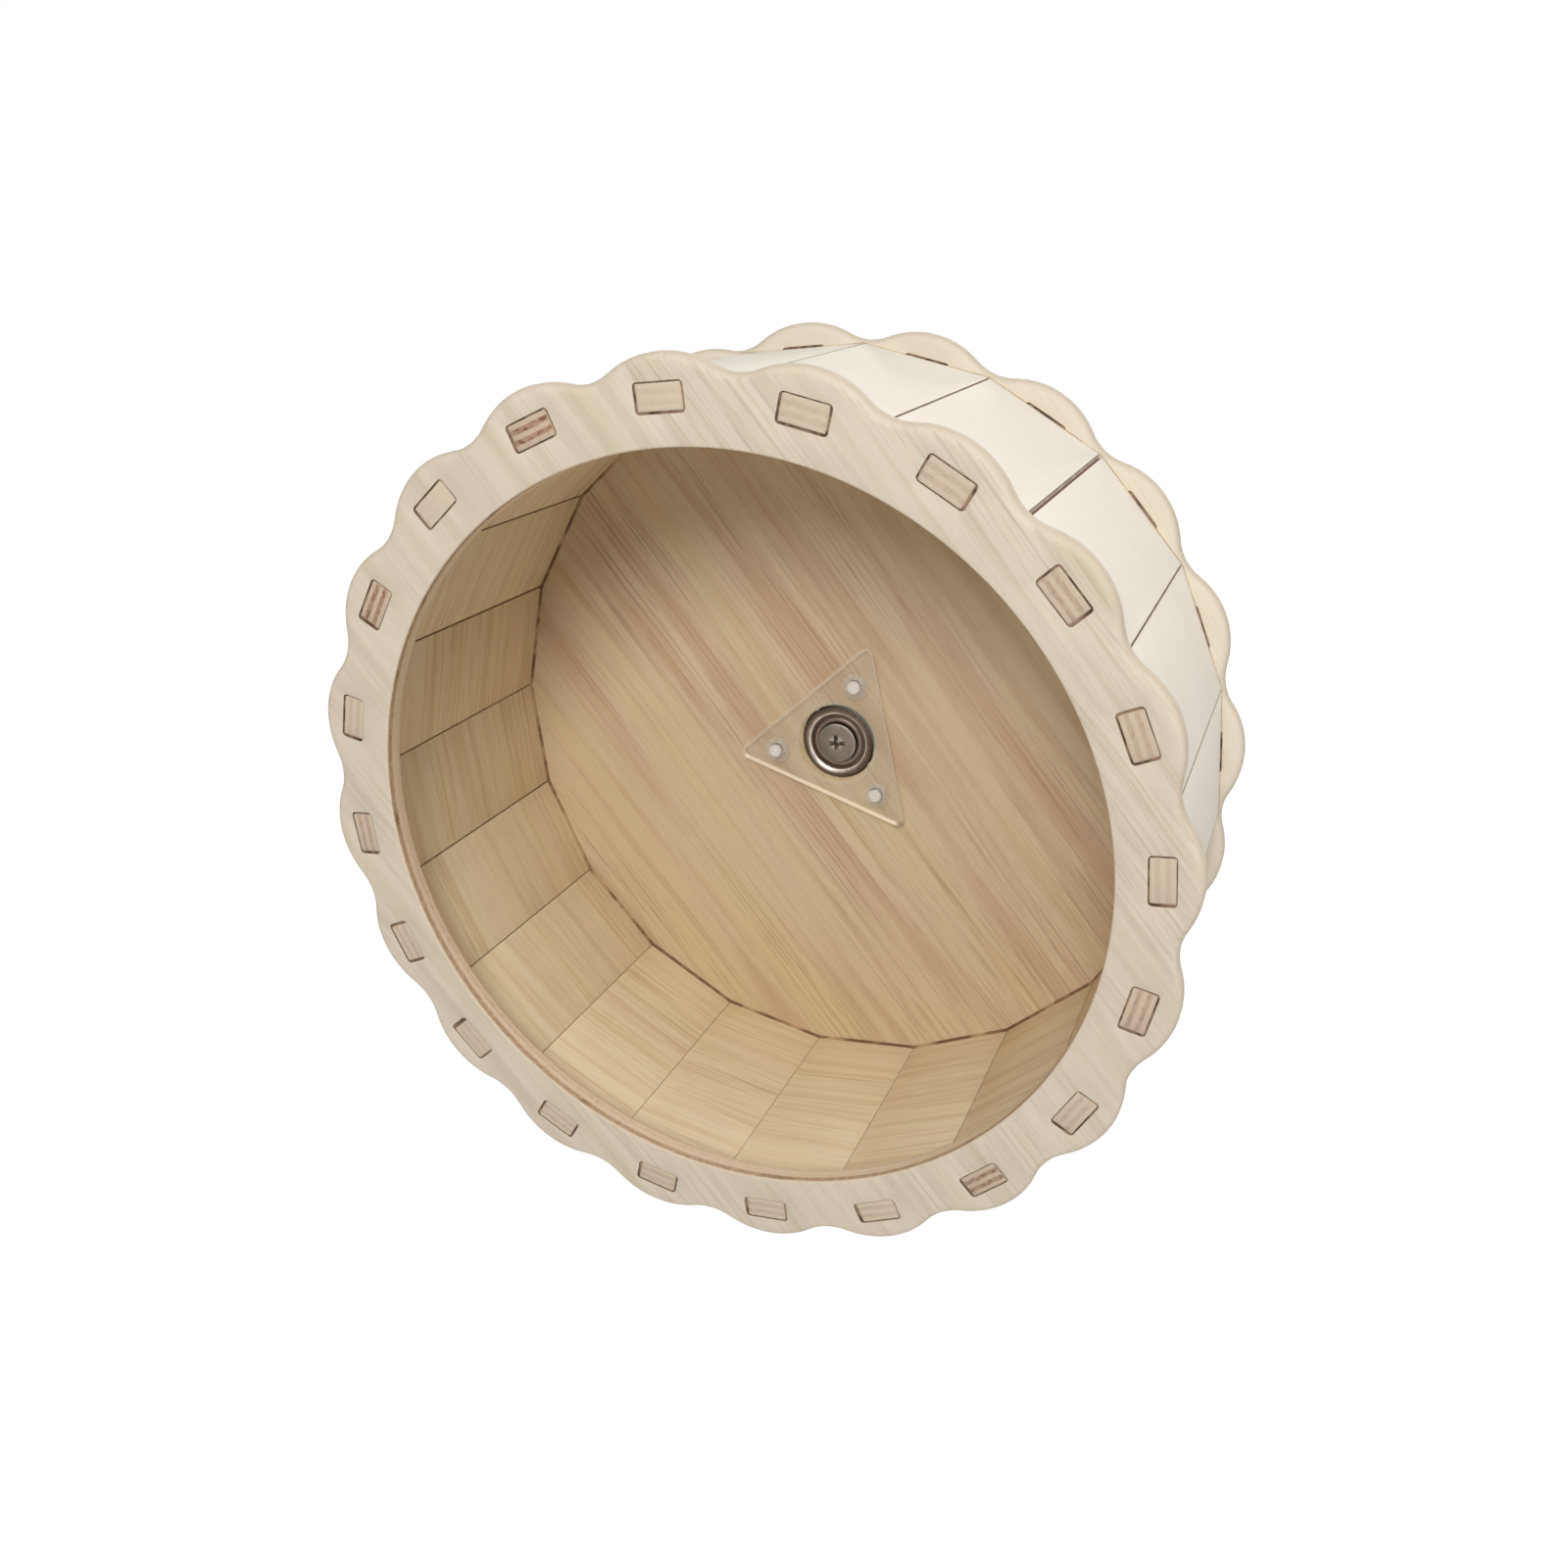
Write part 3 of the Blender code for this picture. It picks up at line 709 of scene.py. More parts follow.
# painted shade: the dark glue in the mortise gaps stands in for the shade deep in each gap
GLUE_AND_SHADE = MottledFinish("glue")
INNER_SEAM = MottledFinish("inner_seam", paint(188, 156, 118), paint(116, 82, 54), patch=0.0080)
OUTER_SEAM = MottledFinish("outer_seam", paint(214, 194, 162), paint(186, 158, 124), patch=0.0060)
# painted highlight: a paler, milkier ring round the bearing hole
CLEAR_SHEET = AcrylicFinish("clear_sheet", body=paint(238, 240, 224), veil=0.11, painted_halo=0.10)
CLEAR_SEAT = AcrylicFinish("clear_seat", veil=0.0, gloss_share=0.1)
SAWN_EDGE = AcrylicFinish(
    "sawn_edge", body=paint(255, 244, 228), veil=0.32, roughness=0.35, saw_marks=0.1
)
# painted light: the bevels that face down get this mirror finish, which the other edges lack, so that
# they alone light up
BRIGHT_BEVEL = AcrylicFinish(
    "bright_bevel", body=paint(184, 169, 147), veil=0.74, roughness=0.42, mirror=0.9
)
CLEAR_RIVET = AcrylicFinish("clear_rivet", body=paint(250, 248, 244), veil=0.14, gloss_share=0.6)
RIVET_CORE = AcrylicFinish(
    "rivet_core", body=paint(255, 252, 246), veil=0.78, gloss_share=0.5, roughness=0.5
)
RIVET_SHANK = AcrylicFinish("rivet_shank", body=paint(250, 244, 235), veil=0.80, roughness=0.4)
RACE_STEEL_SHADED_EDGE = SteelFinish(
    "race_steel_shaded_edge",
    paint(96, 81, 71),
    paint(76, 62, 52),
    roughness=0.54,
    ring_width=0.0002,
    # painted shade: a dark ring at the outer edge for the shade in the gap to the plate's hole
    bands=((0.0092, paint(96, 81, 71)), (0.0094, paint(52, 42, 35))),
)
SHIELD_STEEL_PAINTED_LIGHT = SteelFinish(
    "shield_steel",
    paint(110, 94, 82),
    paint(92, 76, 66),
    roughness=0.38,
    ring_width=0.0003,
    stain_share=0.3,
    # painted light and shade by radius: dark at the lip for the shade under the screw head, pale
    # across the dish for its highlight, and dark at the rim for the shade in the gap to the race
    bands=(
        (0.00530, paint(38, 29, 24)),
        (0.00570, paint(124, 108, 97)),
        (0.00625, paint(118, 102, 91)),
        (0.00660, paint(68, 55, 46)),
        (0.00735, paint(84, 69, 59)),
        (0.00775, paint(222, 208, 197)),
        (0.00835, paint(210, 196, 185)),
        (0.00865, paint(58, 46, 39)),
    ),
)
CAGE_STEEL = SteelFinish("cage_steel", paint(150, 146, 140), paint(120, 114, 106), roughness=0.35)
SCREW_STEEL_WITH_GLINTS = SteelFinish(
    "screw_steel",
    paint(126, 118, 106),
    paint(106, 98, 87),
    roughness=0.50,
    ring_width=0.00035,
    ring_depth=0.000012,
    bloom_width=0.0022,
    stain_share=0.4,
    # painted highlight: lighter steel round the recess, so that its flare glints; the head is also
    # lighter at its rim
    bands=(
        (0.0012, paint(168, 161, 148)),
        (0.0024, paint(126, 118, 106)),
        (0.0044, paint(124, 116, 104)),
        (0.0048, paint(146, 138, 126)),
    ),
)
# painted shade: dark steel on the recess walls below its mouth, for the shade inside it
RECESS_SHADE = SteelFinish("recess_shade", paint(56, 49, 41), paint(42, 35, 29), roughness=0.45)
ZINC_STEEL = SteelFinish(
    "zinc_steel", paint(190, 190, 186), paint(164, 162, 154), roughness=0.3, bloom_width=0.004
)
LOCK_NYLON = MottledFinish(
    "lock_nylon",
    paint(222, 224, 220),
    paint(170, 172, 168),
    patch=1 / 1500,
    onset=(0.45, 0.7),
    spot_share=0.25,
    roughness=(0.4, 0.2),
    depth=0.00002,
    strength=0.4,
    glow=0.1,
)


def polar(radius: float, angle: float) -> Point:
    """The point at a radius and an angle."""
    return radius * cos(angle), radius * sin(angle)


def sight(azimuth: float, elevation: float) -> Vector:
    """The direction of what stands at an azimuth, from the mouth's side towards +X."""
    return Vector((sin(azimuth) * cos(elevation), -cos(azimuth) * cos(elevation), sin(elevation)))


def arc(centre: Point, radius: float, start: float, end: float, steps: int) -> list[Point]:
    """Points along an arc, with both its ends.

    Args:
        centre: Its centre.
        radius: Its radius.
        start: The angle of its first point.
        end: The angle of its last point.
        steps: The number of its chords.

    Returns:
        The points.
    """
    angles = [start + (end - start) * k / steps for k in range(steps + 1)]
    return [(centre[0] + radius * cos(a), centre[1] + radius * sin(a)) for a in angles]


def circle(radius: float, steps: int, centre: Point = (0.0, 0.0)) -> list[Point]:
    """Points round a circle, anticlockwise."""
    return arc(centre, radius, 0.0, 2 * pi, steps)[:-1]


def softened(corners: Sequence[Point], radii: Sequence[float], steps: int) -> list[Point]:
    """Round the corners of a closed outline.

    Args:
        corners: The corners.
        radii: The radius at each of them; 0 leaves it sharp.
        steps: The number of chords in a rounded corner.

    Returns:
        The rounded outline.
    """
    outline: list[Point] = []
    for index, (corner, radius) in enumerate(zip(corners, radii)):
        here = Vector(corner)
        before = (Vector(corners[index - 1]) - here).normalized()
        after = (Vector(corners[(index + 1) % len(corners)]) - here).normalized()
        half = acos(max(-1.0, min(1.0, before.dot(after)))) / 2
        if radius <= 0.0 or half > pi / 2 - 1e-4:
            outline.append(tuple(here))
            continue
        middle = here + (before + after).normalized() * (radius / sin(half))
        first = here + before * (radius / tan(half)) - middle
        last = here + after * (radius / tan(half)) - middle
        start = atan2(first.y, first.x)
        swing = (atan2(last.y, last.x) - start + pi) % (2 * pi) - pi
        outline += arc(tuple(middle), radius, start, start + swing, steps)
    return outline


def inset(outline: Sequence[Point], distance: float) -> list[Point]:
    """Move the sides of an anticlockwise outline inwards.

    Args:
        outline: The outline.
        distance: How far; a negative distance moves them outwards.

    Returns:
        The moved outline, with as many points.
    """
    points = np.array(outline)
    forward = np.roll(points, -1, axis=0) - points
    forward /= np.linalg.norm(forward, axis=1, keepdims=True)
    normal = np.stack([-forward[:, 1], forward[:, 0]], axis=1)
    previous = np.roll(normal, 1, axis=0)
    lean = 1.0 + np.sum(normal * previous, axis=1, keepdims=True)
    moved = points + distance * (normal + previous) / lean
    return [tuple(point) for point in moved]


@dataclass
class Cut:
    """A closed outline of a board, with the round of its two edges."""

    outline: list[Point]
    rounding: float = 0.0
    hole: bool = False
    steps: int = 4
    zone: Zone = Zone.FACE
    levels: tuple[float, ...] = ()  # more depths at which the edge has points
    profile: tuple[Point, ...] = ()  # how far in the edge lies at each depth, in place of a round

    def sections(self, thickness: float) -> list[tuple[list[Point], float]]:
        """Follow the edge from the front face to the back face.

        Args:
            thickness: The board's thickness.

        Returns:
            The outline at each depth.
        """
        side = -1 if self.hole else 1
        if self.profile:
            return [(inset(self.outline, side * pull), deep) for pull, deep in self.profile]
        between = [(self.outline, deep) for deep in self.levels]
        angles = [k * pi / 2 / self.steps for k in range(self.steps + 1)]
        curve = [(self.rounding * (1 - sin(a)), self.rounding * (1 - cos(a))) for a in angles]
        front = [(inset(self.outline, side * pull), deep) for pull, deep in curve]
        back = [(points, thickness - deep) for points, deep in reversed(front)]
        return front + between + back


class Shell:
    """A closed mesh in the making."""

    def __init__(self) -> None:
        """Start with nothing."""
        self.bm = bmesh.new()

    def loop(self, points: Iterable[Sequence[float]]) -> list[bmesh.types.BMVert]:
        """Add the points of a closed loop."""
        return [self.bm.verts.new(point) for point in points]

    def bridge(
        self,
        first: list[bmesh.types.BMVert],
        second: list[bmesh.types.BMVert],
        zone: Zone = Zone.FACE,
    ) -> None:
        """Join two loops of as many points, or a loop and a single point, with a band of faces.

        Args:
            first: One loop.
            second: The other.
            zone: The zone of the faces.
        """
        count = max(len(first), len(second))
        for index in range(count):
            after = (index + 1) % count
            corners = [first[index % len(first)], first[after % len(first)]]
            corners += [second[after % len(second)], second[index % len(second)]]
            face = self.bm.faces.new(list(dict.fromkeys(corners)))
            face.material_index = zone.value

    def cap(self, *loops: list[bmesh.types.BMVert]) -> None:
        """Fill the flat face between loops; it stays flat-shaded.

        Args:
            loops: The outer loop and those of the holes.
        """
        edges = []
        for loop in loops:
            for first, second in zip(loop, loop[1:] + loop[:1]):
                edges.append(self.bm.edges.get((first, second)) or self.bm.edges.new((first, second)))
        filled = bmesh.ops.triangle_fill(self.bm, use_beauty=True, edges=edges)
        for item in filled["geom"]:
            if isinstance(item, bmesh.types.BMFace):
                item.tag = True

    def skin(
        self,
        loops: Sequence[list[bmesh.types.BMVert]],
        zone: Zone = Zone.FACE,
        capped: bool = False,
    ) -> None:
        """Join each loop to the next.

        Args:
            loops: The loops.
            zone: The zone of the faces between them.
            capped: Whether the first and the last loop are filled as well.
        """
        for first, second in zip(loops, loops[1:]):
            self.bridge(first, second, zone)
        if capped:
            self.cap(loops[0])
            self.cap(loops[-1])

    def mesh(self, name: str, sharp: float = SHARP_ANGLE) -> bpy.types.Mesh:
        """Turn it into a mesh with its faces out.

        Args:
            name: The mesh's name.
            sharp: Edges steeper than this angle stay sharp.

        Returns:
            The mesh.
        """
        bmesh.ops.remove_doubles(self.bm, verts=self.bm.verts, dist=MERGE_DISTANCE)
        bmesh.ops.recalc_face_normals(self.bm, faces=self.bm.faces)
        for face in self.bm.faces:
            face.smooth = not face.tag
        mesh = bpy.data.meshes.new(name)
        self.bm.to_mesh(mesh)
        self.bm.free()
        mesh.set_sharp_from_angle(angle=sharp)
        return mesh


def board(cuts: Sequence[Cut], thickness: float, front: float = 0.0) -> Shell:
    """A flat board in the XZ plane.

    Args:
        cuts: Its rim and its holes.
        thickness: Its thickness, along +Y.
        front: The Y of its front face.

    Returns:
        The board.
    """
    shell = Shell()
    fronts, backs = [], []
    for cut in cuts:
        loops = [
            shell.loop((x, front + deep, z) for x, z in points)
            for points, deep in cut.sections(thickness)
        ]
        shell.skin(loops, cut.zone)
        fronts.append(loops[0])
        backs.append(loops[-1])
    shell.cap(*fronts)
    shell.cap(*backs)
    return shell


def steady(*profile: Point) -> list[Row]:
    """Rows of a turned body that are round: the same point at each angle."""
    return [lambda angle, point=point: point for point in profile]


def lathe(rows: Sequence[Row], closed: bool = True, steps: int = TURN_STEPS) -> Shell:
    """A body round the Y axis.

    Args:
        rows: For each row, its radius and its Y at an angle.
        closed: Whether the last row joins the first; a body whose ends lie on the axis isn't.
        steps: The number of points in a row.

    Returns:
        The body.
    """
    shell = Shell()
    angles = [2 * pi * k / steps for k in range(steps)]
    loops = []
    for row in rows:
        places = [row(angle) for angle in angles]
        if max(radius for radius, _ in places) < MERGE_DISTANCE:
            loops.append(shell.loop([(0.0, places[0][1], 0.0)]))
        else:
            points = [(r * cos(a), y, r * sin(a)) for a, (r, y) in zip(angles, places)]
            loops.append(shell.loop(points))
    shell.skin([*loops, loops[0]] if closed else loops)
    return shell


def turned(
    corners: Sequence[Point],
    radii: Sequence[float],
    steps: int = 3,
    round_steps: int = TURN_STEPS,
) -> Shell:
    """A body turned about Y from a profile with rounded corners.

    Args:
        corners: The profile's corners, radius and Y; it closes on itself, or on the axis.
        radii: The round of each corner.
        steps: The number of chords in a rounded corner.
        round_steps: The number of points round the axis.

    Returns:
        The body.
    """
    solid = corners[0][0] < MERGE_DISTANCE
    rows = steady(*softened(corners, radii, steps))
    return lathe(rows, closed=not solid, steps=round_steps)


# how clearly the plies show in each zone, and how much the cutter scorched it
EDGE_WORK = {
    Zone.FACE: (0.0, 0.0),
    Zone.RIM: (0.12, 0.0),
    Zone.MOUTH: (1.0, 0.0),
    Zone.SLOT: (0.3, 0.85),
    Zone.TENON: (1.0, 0.0),
}


@dataclass(frozen=True)
class Grain:
    """How a piece lies in its wood."""

    along: Vector
    across: Vector
    deep: Vector
    front: Vector  # a point on its front face
    shift: Point  # which stretch of wood it was cut from

    def lay(
        self, mesh: bpy.types.Mesh, stripes: float = 1.0, tone: float = 1.0, scorch: float = 0.85
    ) -> None:
        """Write the place of each point in the wood, and how each face was cut and worked.

        Args:
            mesh: The piece's mesh, in its own frame, with zones for materials.
            stripes: How clearly the plies show on a tenon's end.
            tone: How light the piece is.
            scorch: How much the cutter scorched its slots or joints.
        """
        axes = np.array([self.along, self.across, self.deep])
        points = np.empty(len(mesh.vertices) * 3)
        mesh.vertices.foreach_get("co", points)
        places = (points.reshape(-1, 3) - np.array(self.front)) @ axes.T
        places += np.array([*self.shift, 0.0])
        normals = np.empty(len(mesh.polygons) * 3)
        mesh.polygons.foreach_get("normal", normals)
        corners, zones = (np.empty(len(mesh.polygons), dtype=np.int32) for _ in range(2))
        mesh.polygons.foreach_get("loop_total", corners)
        mesh.polygons.foreach_get("material_index", zones)
        mesh.polygons.foreach_set("material_index", np.zeros_like(zones))
        edges = np.array([(*EDGE_WORK[zone], tone) for zone in Zone])
        edges[Zone.TENON.value, 0] = stripes
        edges[Zone.SLOT.value, 1] = scorch
        vectors = {
            "grain": ("POINT", places),
            "facing": ("CORNER", np.repeat(normals.reshape(-1, 3) @ axes.T, corners, axis=0)),
            "work": ("CORNER", np.repeat(edges[zones], corners, axis=0)),
        }
        for name, (domain, values) in vectors.items():
            written = mesh.attributes.new(name, "FLOAT_VECTOR", domain)
            written.data.foreach_set("vector", values.ravel())


@dataclass(frozen=True)
class Station:
    """Where a node of the frame lies along the axle, and how far it reaches from it."""

    front: float
    back: float
    reach: float

    @classmethod
    def of(cls, node: str) -> Station:
        """Measure a node of the frame."""
        low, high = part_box(node)
        return cls(low.y, high.y, (high.x - low.x) / 2)

    @property
    def length(self) -> float:
        """Its length along the axle."""
        return self.back - self.front

    @property
    def middle(self) -> float:
        """The Y of its middle."""
        return (self.front + self.back) / 2


def placed(name: str, data: bpy.types.ID) -> bpy.types.Object:
    """Put an object into the scene.

    Args:
        name: Its name.
        data: Its mesh, camera or light.

    Returns:
        The object.
    """
    made = bpy.data.objects.new(name, data)
    bpy.context.scene.collection.objects.link(made)
    return made


def piece(
    name: str,
    mesh: bpy.types.Mesh,
    finishes: Sequence[bpy.types.Material],
    body: Body,
    slot: str,
    nodes: Sequence[str] = (),
    at: Matrix | None = None,
) -> None:
    """Put a piece in place and hand it to the frame.

    Args:
        name: Its name.
        mesh: Its mesh.
        finishes: Its materials.
        body: The body that it rides on.
        slot: The record's material slot that its finish comes from; not used.
        nodes: The nodes of the frame that it stands for.
        at: Where its own frame lies.
    """
    made = placed(name, mesh)
    for material in finishes:
        mesh.materials.append(material)
    if at is not None:
        made.matrix_world = at
    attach(made, body.value)
    if nodes:
        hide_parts(*nodes)
    log.info("%s: %d faces, rides on %s", name, len(mesh.polygons), body.value)


def dress(node: str, finish: bpy.types.Material) -> None:
    """Give a node of the frame a finish, and keep its shape.

    Args:
        node: Its name.
        finish: Its material.
    """
    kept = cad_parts[node]
    kept.data.materials.clear()
    kept.data.materials.append(finish)
    log.info("%s: kept, with a new finish", node)


def settled(shell: bpy.types.Mesh, modifiers: Mapping[str, Mapping[str, object]]) -> bpy.types.Mesh:
    """Run modifiers over a mesh.

    Args:
        shell: The mesh.
        modifiers: Each modifier's type, with its settings.

    Returns:
        The mesh that comes out.
    """
    holder = placed("settling", shell)
    for kind, settings in modifiers.items():
        modifier = holder.modifiers.new(kind, kind)
        for key, value in settings.items():
            setattr(modifier, key, value)
    graph = bpy.context.evaluated_depsgraph_get()
    result = bpy.data.meshes.new_from_object(holder.evaluated_get(graph))
    bpy.data.objects.remove(holder)
    return result


def carved(body: bpy.types.Mesh, tool: bpy.types.Mesh) -> bpy.types.Mesh:
    """Cut one closed mesh out of another.

    Args:
        body: The mesh that is cut.
        tool: The shape that is taken out.

    Returns:
        What is left.
    """
    cutter = placed("cutter", tool)
    result = settled(body, {"BOOLEAN": {"operation": "DIFFERENCE", "object": cutter}})
    bpy.data.objects.remove(cutter)
    return result


@dataclass(frozen=True)
class Fit:
    """How one slat sits in the drum: the gaps round its tenon, its joint and its wood."""

    outer: float = 0.0
    inner: float = 0.0
    ahead: float = 0.0  # clockwise, seen from the mouth
    behind: float = 0.0
    joint: float = 0.0  # to the slat before it, on the running side
    joint_outside: float = 0.0
    stripes: float = 0.5  # how clearly the tenon's plies show
    tone: float = 1.0
    scorch: float = 0.5  # of its joints

    @classmethod
    def of(cls, *row: float) -> Fit:
        """Read a row of a table whose six lengths are in hundredths of a millimetre."""
        return cls(*(length / HUNDREDTHS for length in row[:6]), *row[6:])


@dataclass
class Drum:
    """The mouth ring, the back disc and the running slats between them."""

    slat_count: int = 20
    first_angle: float = radians(95.9)
    running_radius: float = 0.0897
    mouth_radius: float = 0.0831
    crest_radius: float = 0.1000
    lobe_radius: float = 0.0200
    valley_radius: float = 0.0120
    lobe_steps: int = 18
    valley_steps: int = 8
    slat_thickness: float = 0.0050
    tenon_width: float = 0.0100
    tenon_corner: float = 0.0008
    ring_gap: float = 0.00010
    disc_gap: float = 0.00015
    closed_gap: float = 0.00001
    groove_depth: float = 0.0005
    groove_floor: float = 0.0003  # the depth over which a groove closes
    rim_round: float = 0.0016
    mouth_round: float = 0.0005
    mortise_round: float = 0.00008
    slat_round: float = 0.00015
    slat_side: float = 0.001  # how far beyond its tenon a slat's own sides lie at least
    slat_flat: float = 0.85  # the least cosine of a face on its running side or its outside
    stand_back: float = 0.00015  # how far a tenon lies below the ring's face at most
    shoulder_zone: float = 0.0005  # how deep in the boards a slat's end still counts as its side
    ring_grain: float = radians(-50)
    disc_grain: float = radians(-51)
    disc_slack: float = 0.00018  # how much wider the disc's mortises are
    disc_inner: float = 0.00022
    glue_sink: float = 0.0003
    glue_bite: float = 0.0001  # how far the glue goes into the board
    glue_hold: float = 0.0002  # how far it goes into the tenon
    bead: float = 0.00060  # of glue, along a slat's end
    outer_bead: float = 0.00018
    bead_top: float = 0.3  # how wide a bead's top is, as a share of its foot
    hub_hole: float = 0.0097
    seed: int = 11
    wood: Point = (0.3, 0.9)  # between which places a piece may be cut from its wood
    fits: tuple[Fit, ...] = (
        Fit.of(25, 45, 22, 10, 20, 30, 0.15),
        Fit.of(25, 45, 30, 12, 20, 35, 0.25),
        Fit.of(35, 15, 40, 12, 20, 40, 0.35),
        Fit.of(42, 10, 28, 18, 20, 100, 0.50, 1.00, 1.0),
        Fit.of(22, 32, 10, 28, 20, 40, 0.45),
        Fit.of(18, 22, 18, 18, 20, 35, 0.25),
        Fit.of(38, 32, 6, 18, 20, 30, 0.60),
        Fit.of(32, 18, 18, 18, 25, 30, 0.35),
        Fit.of(18, 22, 10, 10, 25, 40, 0.90, 0.98),
        Fit.of(14, 14, 28, 12, 20, 30, 0.30, 1.01),
        Fit.of(18, 14, 28, 28, 12, 30, 0.35, 1.02, 0.25),
        Fit.of(14, 14, 22, 22, 8, 40, 0.35, 1.00, 0.15),
        Fit.of(14, 14, 28, 28, 8, 30, 0.35, 1.02, 0.15),
        Fit.of(10, 14, 70, 10, 10, 30, 0.25, 0.99, 0.15),
        Fit.of(14, 18, 45, 18, 22, 40, 0.35, 1.01, 0.4),
        Fit.of(10, 18, 22, 22, 35, 30, 0.55, 0.98),
        Fit.of(32, 6, 6, 22, 32, 30, 0.30, 1.00, 0.3),
        Fit.of(32, 18, 6, 28, 55, 40, 1.00, 1.00, 0.9),
        Fit.of(28, 32, 10, 6, 50, 30, 0.05, 0.99, 0.8),
        Fit.of(28, 28, 22, 14, 35, 30, 1.00, 1.00, 0.8),
    )
    ring: Station = field(default_factory=lambda: Station.of("front_ring"))
    disc: Station = field(default_factory=lambda: Station.of("back_disc"))

    @property
    def half_pitch(self) -> float:
        """Half the angle between two slats."""
        return pi / self.slat_count

    def angle(self, index: int) -> float:
        """The angle of a slat; they run clockwise, seen from the mouth."""
        return self.first_angle - index * 2 * self.half_pitch

    def scallops(self) -> list[Point]:
        """Draw the rim: a convex lobe over each slat, and a soft valley between two.

        Returns:
            The outline, anticlockwise.
        """
        lobe_centre = self.crest_radius - self.lobe_radius
        half_chord = lobe_centre * sin(self.half_pitch)
        rise = sqrt((self.lobe_radius + self.valley_radius) ** 2 - half_chord**2)
        valley_centre = lobe_centre * cos(self.half_pitch) + rise
        swing = self.half_pitch + atan2(half_chord, rise)
        points: list[Point] = []
        for index in range(self.slat_count):
            middle = self.first_angle + index * 2 * self.half_pitch
            lobe = polar(lobe_centre, middle)
            start, end = middle - swing, middle + swing
            points += arc(lobe, self.lobe_radius, start, end, self.lobe_steps)[:-1]
            valley = polar(valley_centre, middle + self.half_pitch)
            start = middle + swing + pi
            end = middle + 2 * self.half_pitch - swing + pi
            points += arc(valley, self.valley_radius, start, end, self.valley_steps)[:-1]
        return points

    def slot(self, index: int, fit: Fit) -> list[Point]:
        """Draw the outline of a slot round a tenon.

        Args:
            index: The slat's place in the drum.
            fit: The gaps round the tenon.

        Returns:
            The outline.
        """
        low = self.running_radius - fit.inner
        high = self.running_radius + self.slat_thickness + fit.outer
        left = self.tenon_width / 2 + fit.behind
        right = -self.tenon_width / 2 - fit.ahead
        turn = Matrix.Rotation(self.angle(index), 2)
        corners = [(low, right), (high, right), (high, left), (low, left)]
        placed_corners = [tuple(turn @ Vector(corner)) for corner in corners]
        return softened(placed_corners, [self.tenon_corner] * 4, 4)

    def loose_fits(self) -> list[Fit]:
        """The gaps round the tenons in the disc."""
        slack, inner = self.disc_slack, self.disc_inner
        return [replace(fit, outer=fit.outer + slack, inner=inner) for fit in self.fits]

    def pick(self, draw: random.Random) -> Point:
        """Pick the stretch of wood that a piece is cut from."""
        return draw.uniform(*self.wood), draw.uniform(*self.wood)

    def build_boards(self, draw: random.Random, rivets: Sequence[Cut]) -> None:
        """Make the mouth ring, then the back disc.

        Args:
            draw: What picks their wood.
            rivets: The disc's holes for the rivets.
        """
        rim = Cut(self.scallops(), self.rim_round, steps=6, zone=Zone.RIM)
        inside = circle(self.mouth_radius, 2 * TURN_STEPS)
        mouth = Cut(inside, self.mouth_round, hole=True, zone=Zone.MOUTH)
        hub = Cut(circle(self.hub_hole, TURN_STEPS), BREAK, hole=True, steps=2, zone=Zone.SLOT)
        boards = (
            ("front_ring", self.ring, RING_PLY, self.ring_grain, [mouth], self.fits),
            ("back_disc", self.disc, DISC_PLY, self.disc_grain, [hub, *rivets], self.loose_fits()),
        )
        for node, station, ply, angle, holes, fits in boards:
            mortises = [
                Cut(self.slot(index, fit), self.mortise_round, hole=True, steps=2, zone=Zone.SLOT)
                for index, fit in enumerate(fits)
            ]
            mesh = board([rim, *holes, *mortises], station.length, station.front).mesh(node)
            along = Vector((cos(angle), 0.0, sin(angle)))
            across = Vector((-sin(angle), 0.0, cos(angle)))
            front = Vector((0.0, station.front, 0.0))
            Grain(along, across, Vector((0.0, 1.0, 0.0)), front, self.pick(draw)).lay(mesh)
            piece(f"{node}_ply", mesh, [ply.material()], Body.WHEEL, ply.name, [node])

    def build_glue_and_shade(self) -> None:
        """Fill each mortise round its tenon with dark wood glue, a little below the faces; the glue
        is painted darker as shade deep in the gap.
        """
        glue = [GLUE_AND_SHADE.material()]
        boards = {"ring_glue_and_shade": (self.ring, self.fits), "disc_glue_and_shade": (self.disc, self.loose_fits())}
        for name, (station, fits) in boards.items():
            shell = Shell()
            for index, fit in enumerate(fits):
                outer = inset(self.slot(index, fit), -self.glue_bite)
                inner = inset(self.slot(index, Fit()), self.glue_hold)
                front, back = station.front + self.glue_sink, station.back - self.glue_sink
                section = ((outer, front), (outer, back), (inner, back), (inner, front))
                loops = [shell.loop((x, y, z) for x, z in outline) for outline, y in section]
                shell.skin([*loops, loops[0]])
            piece(name, shell.mesh(name), glue, Body.WHEEL, "slat_ply")

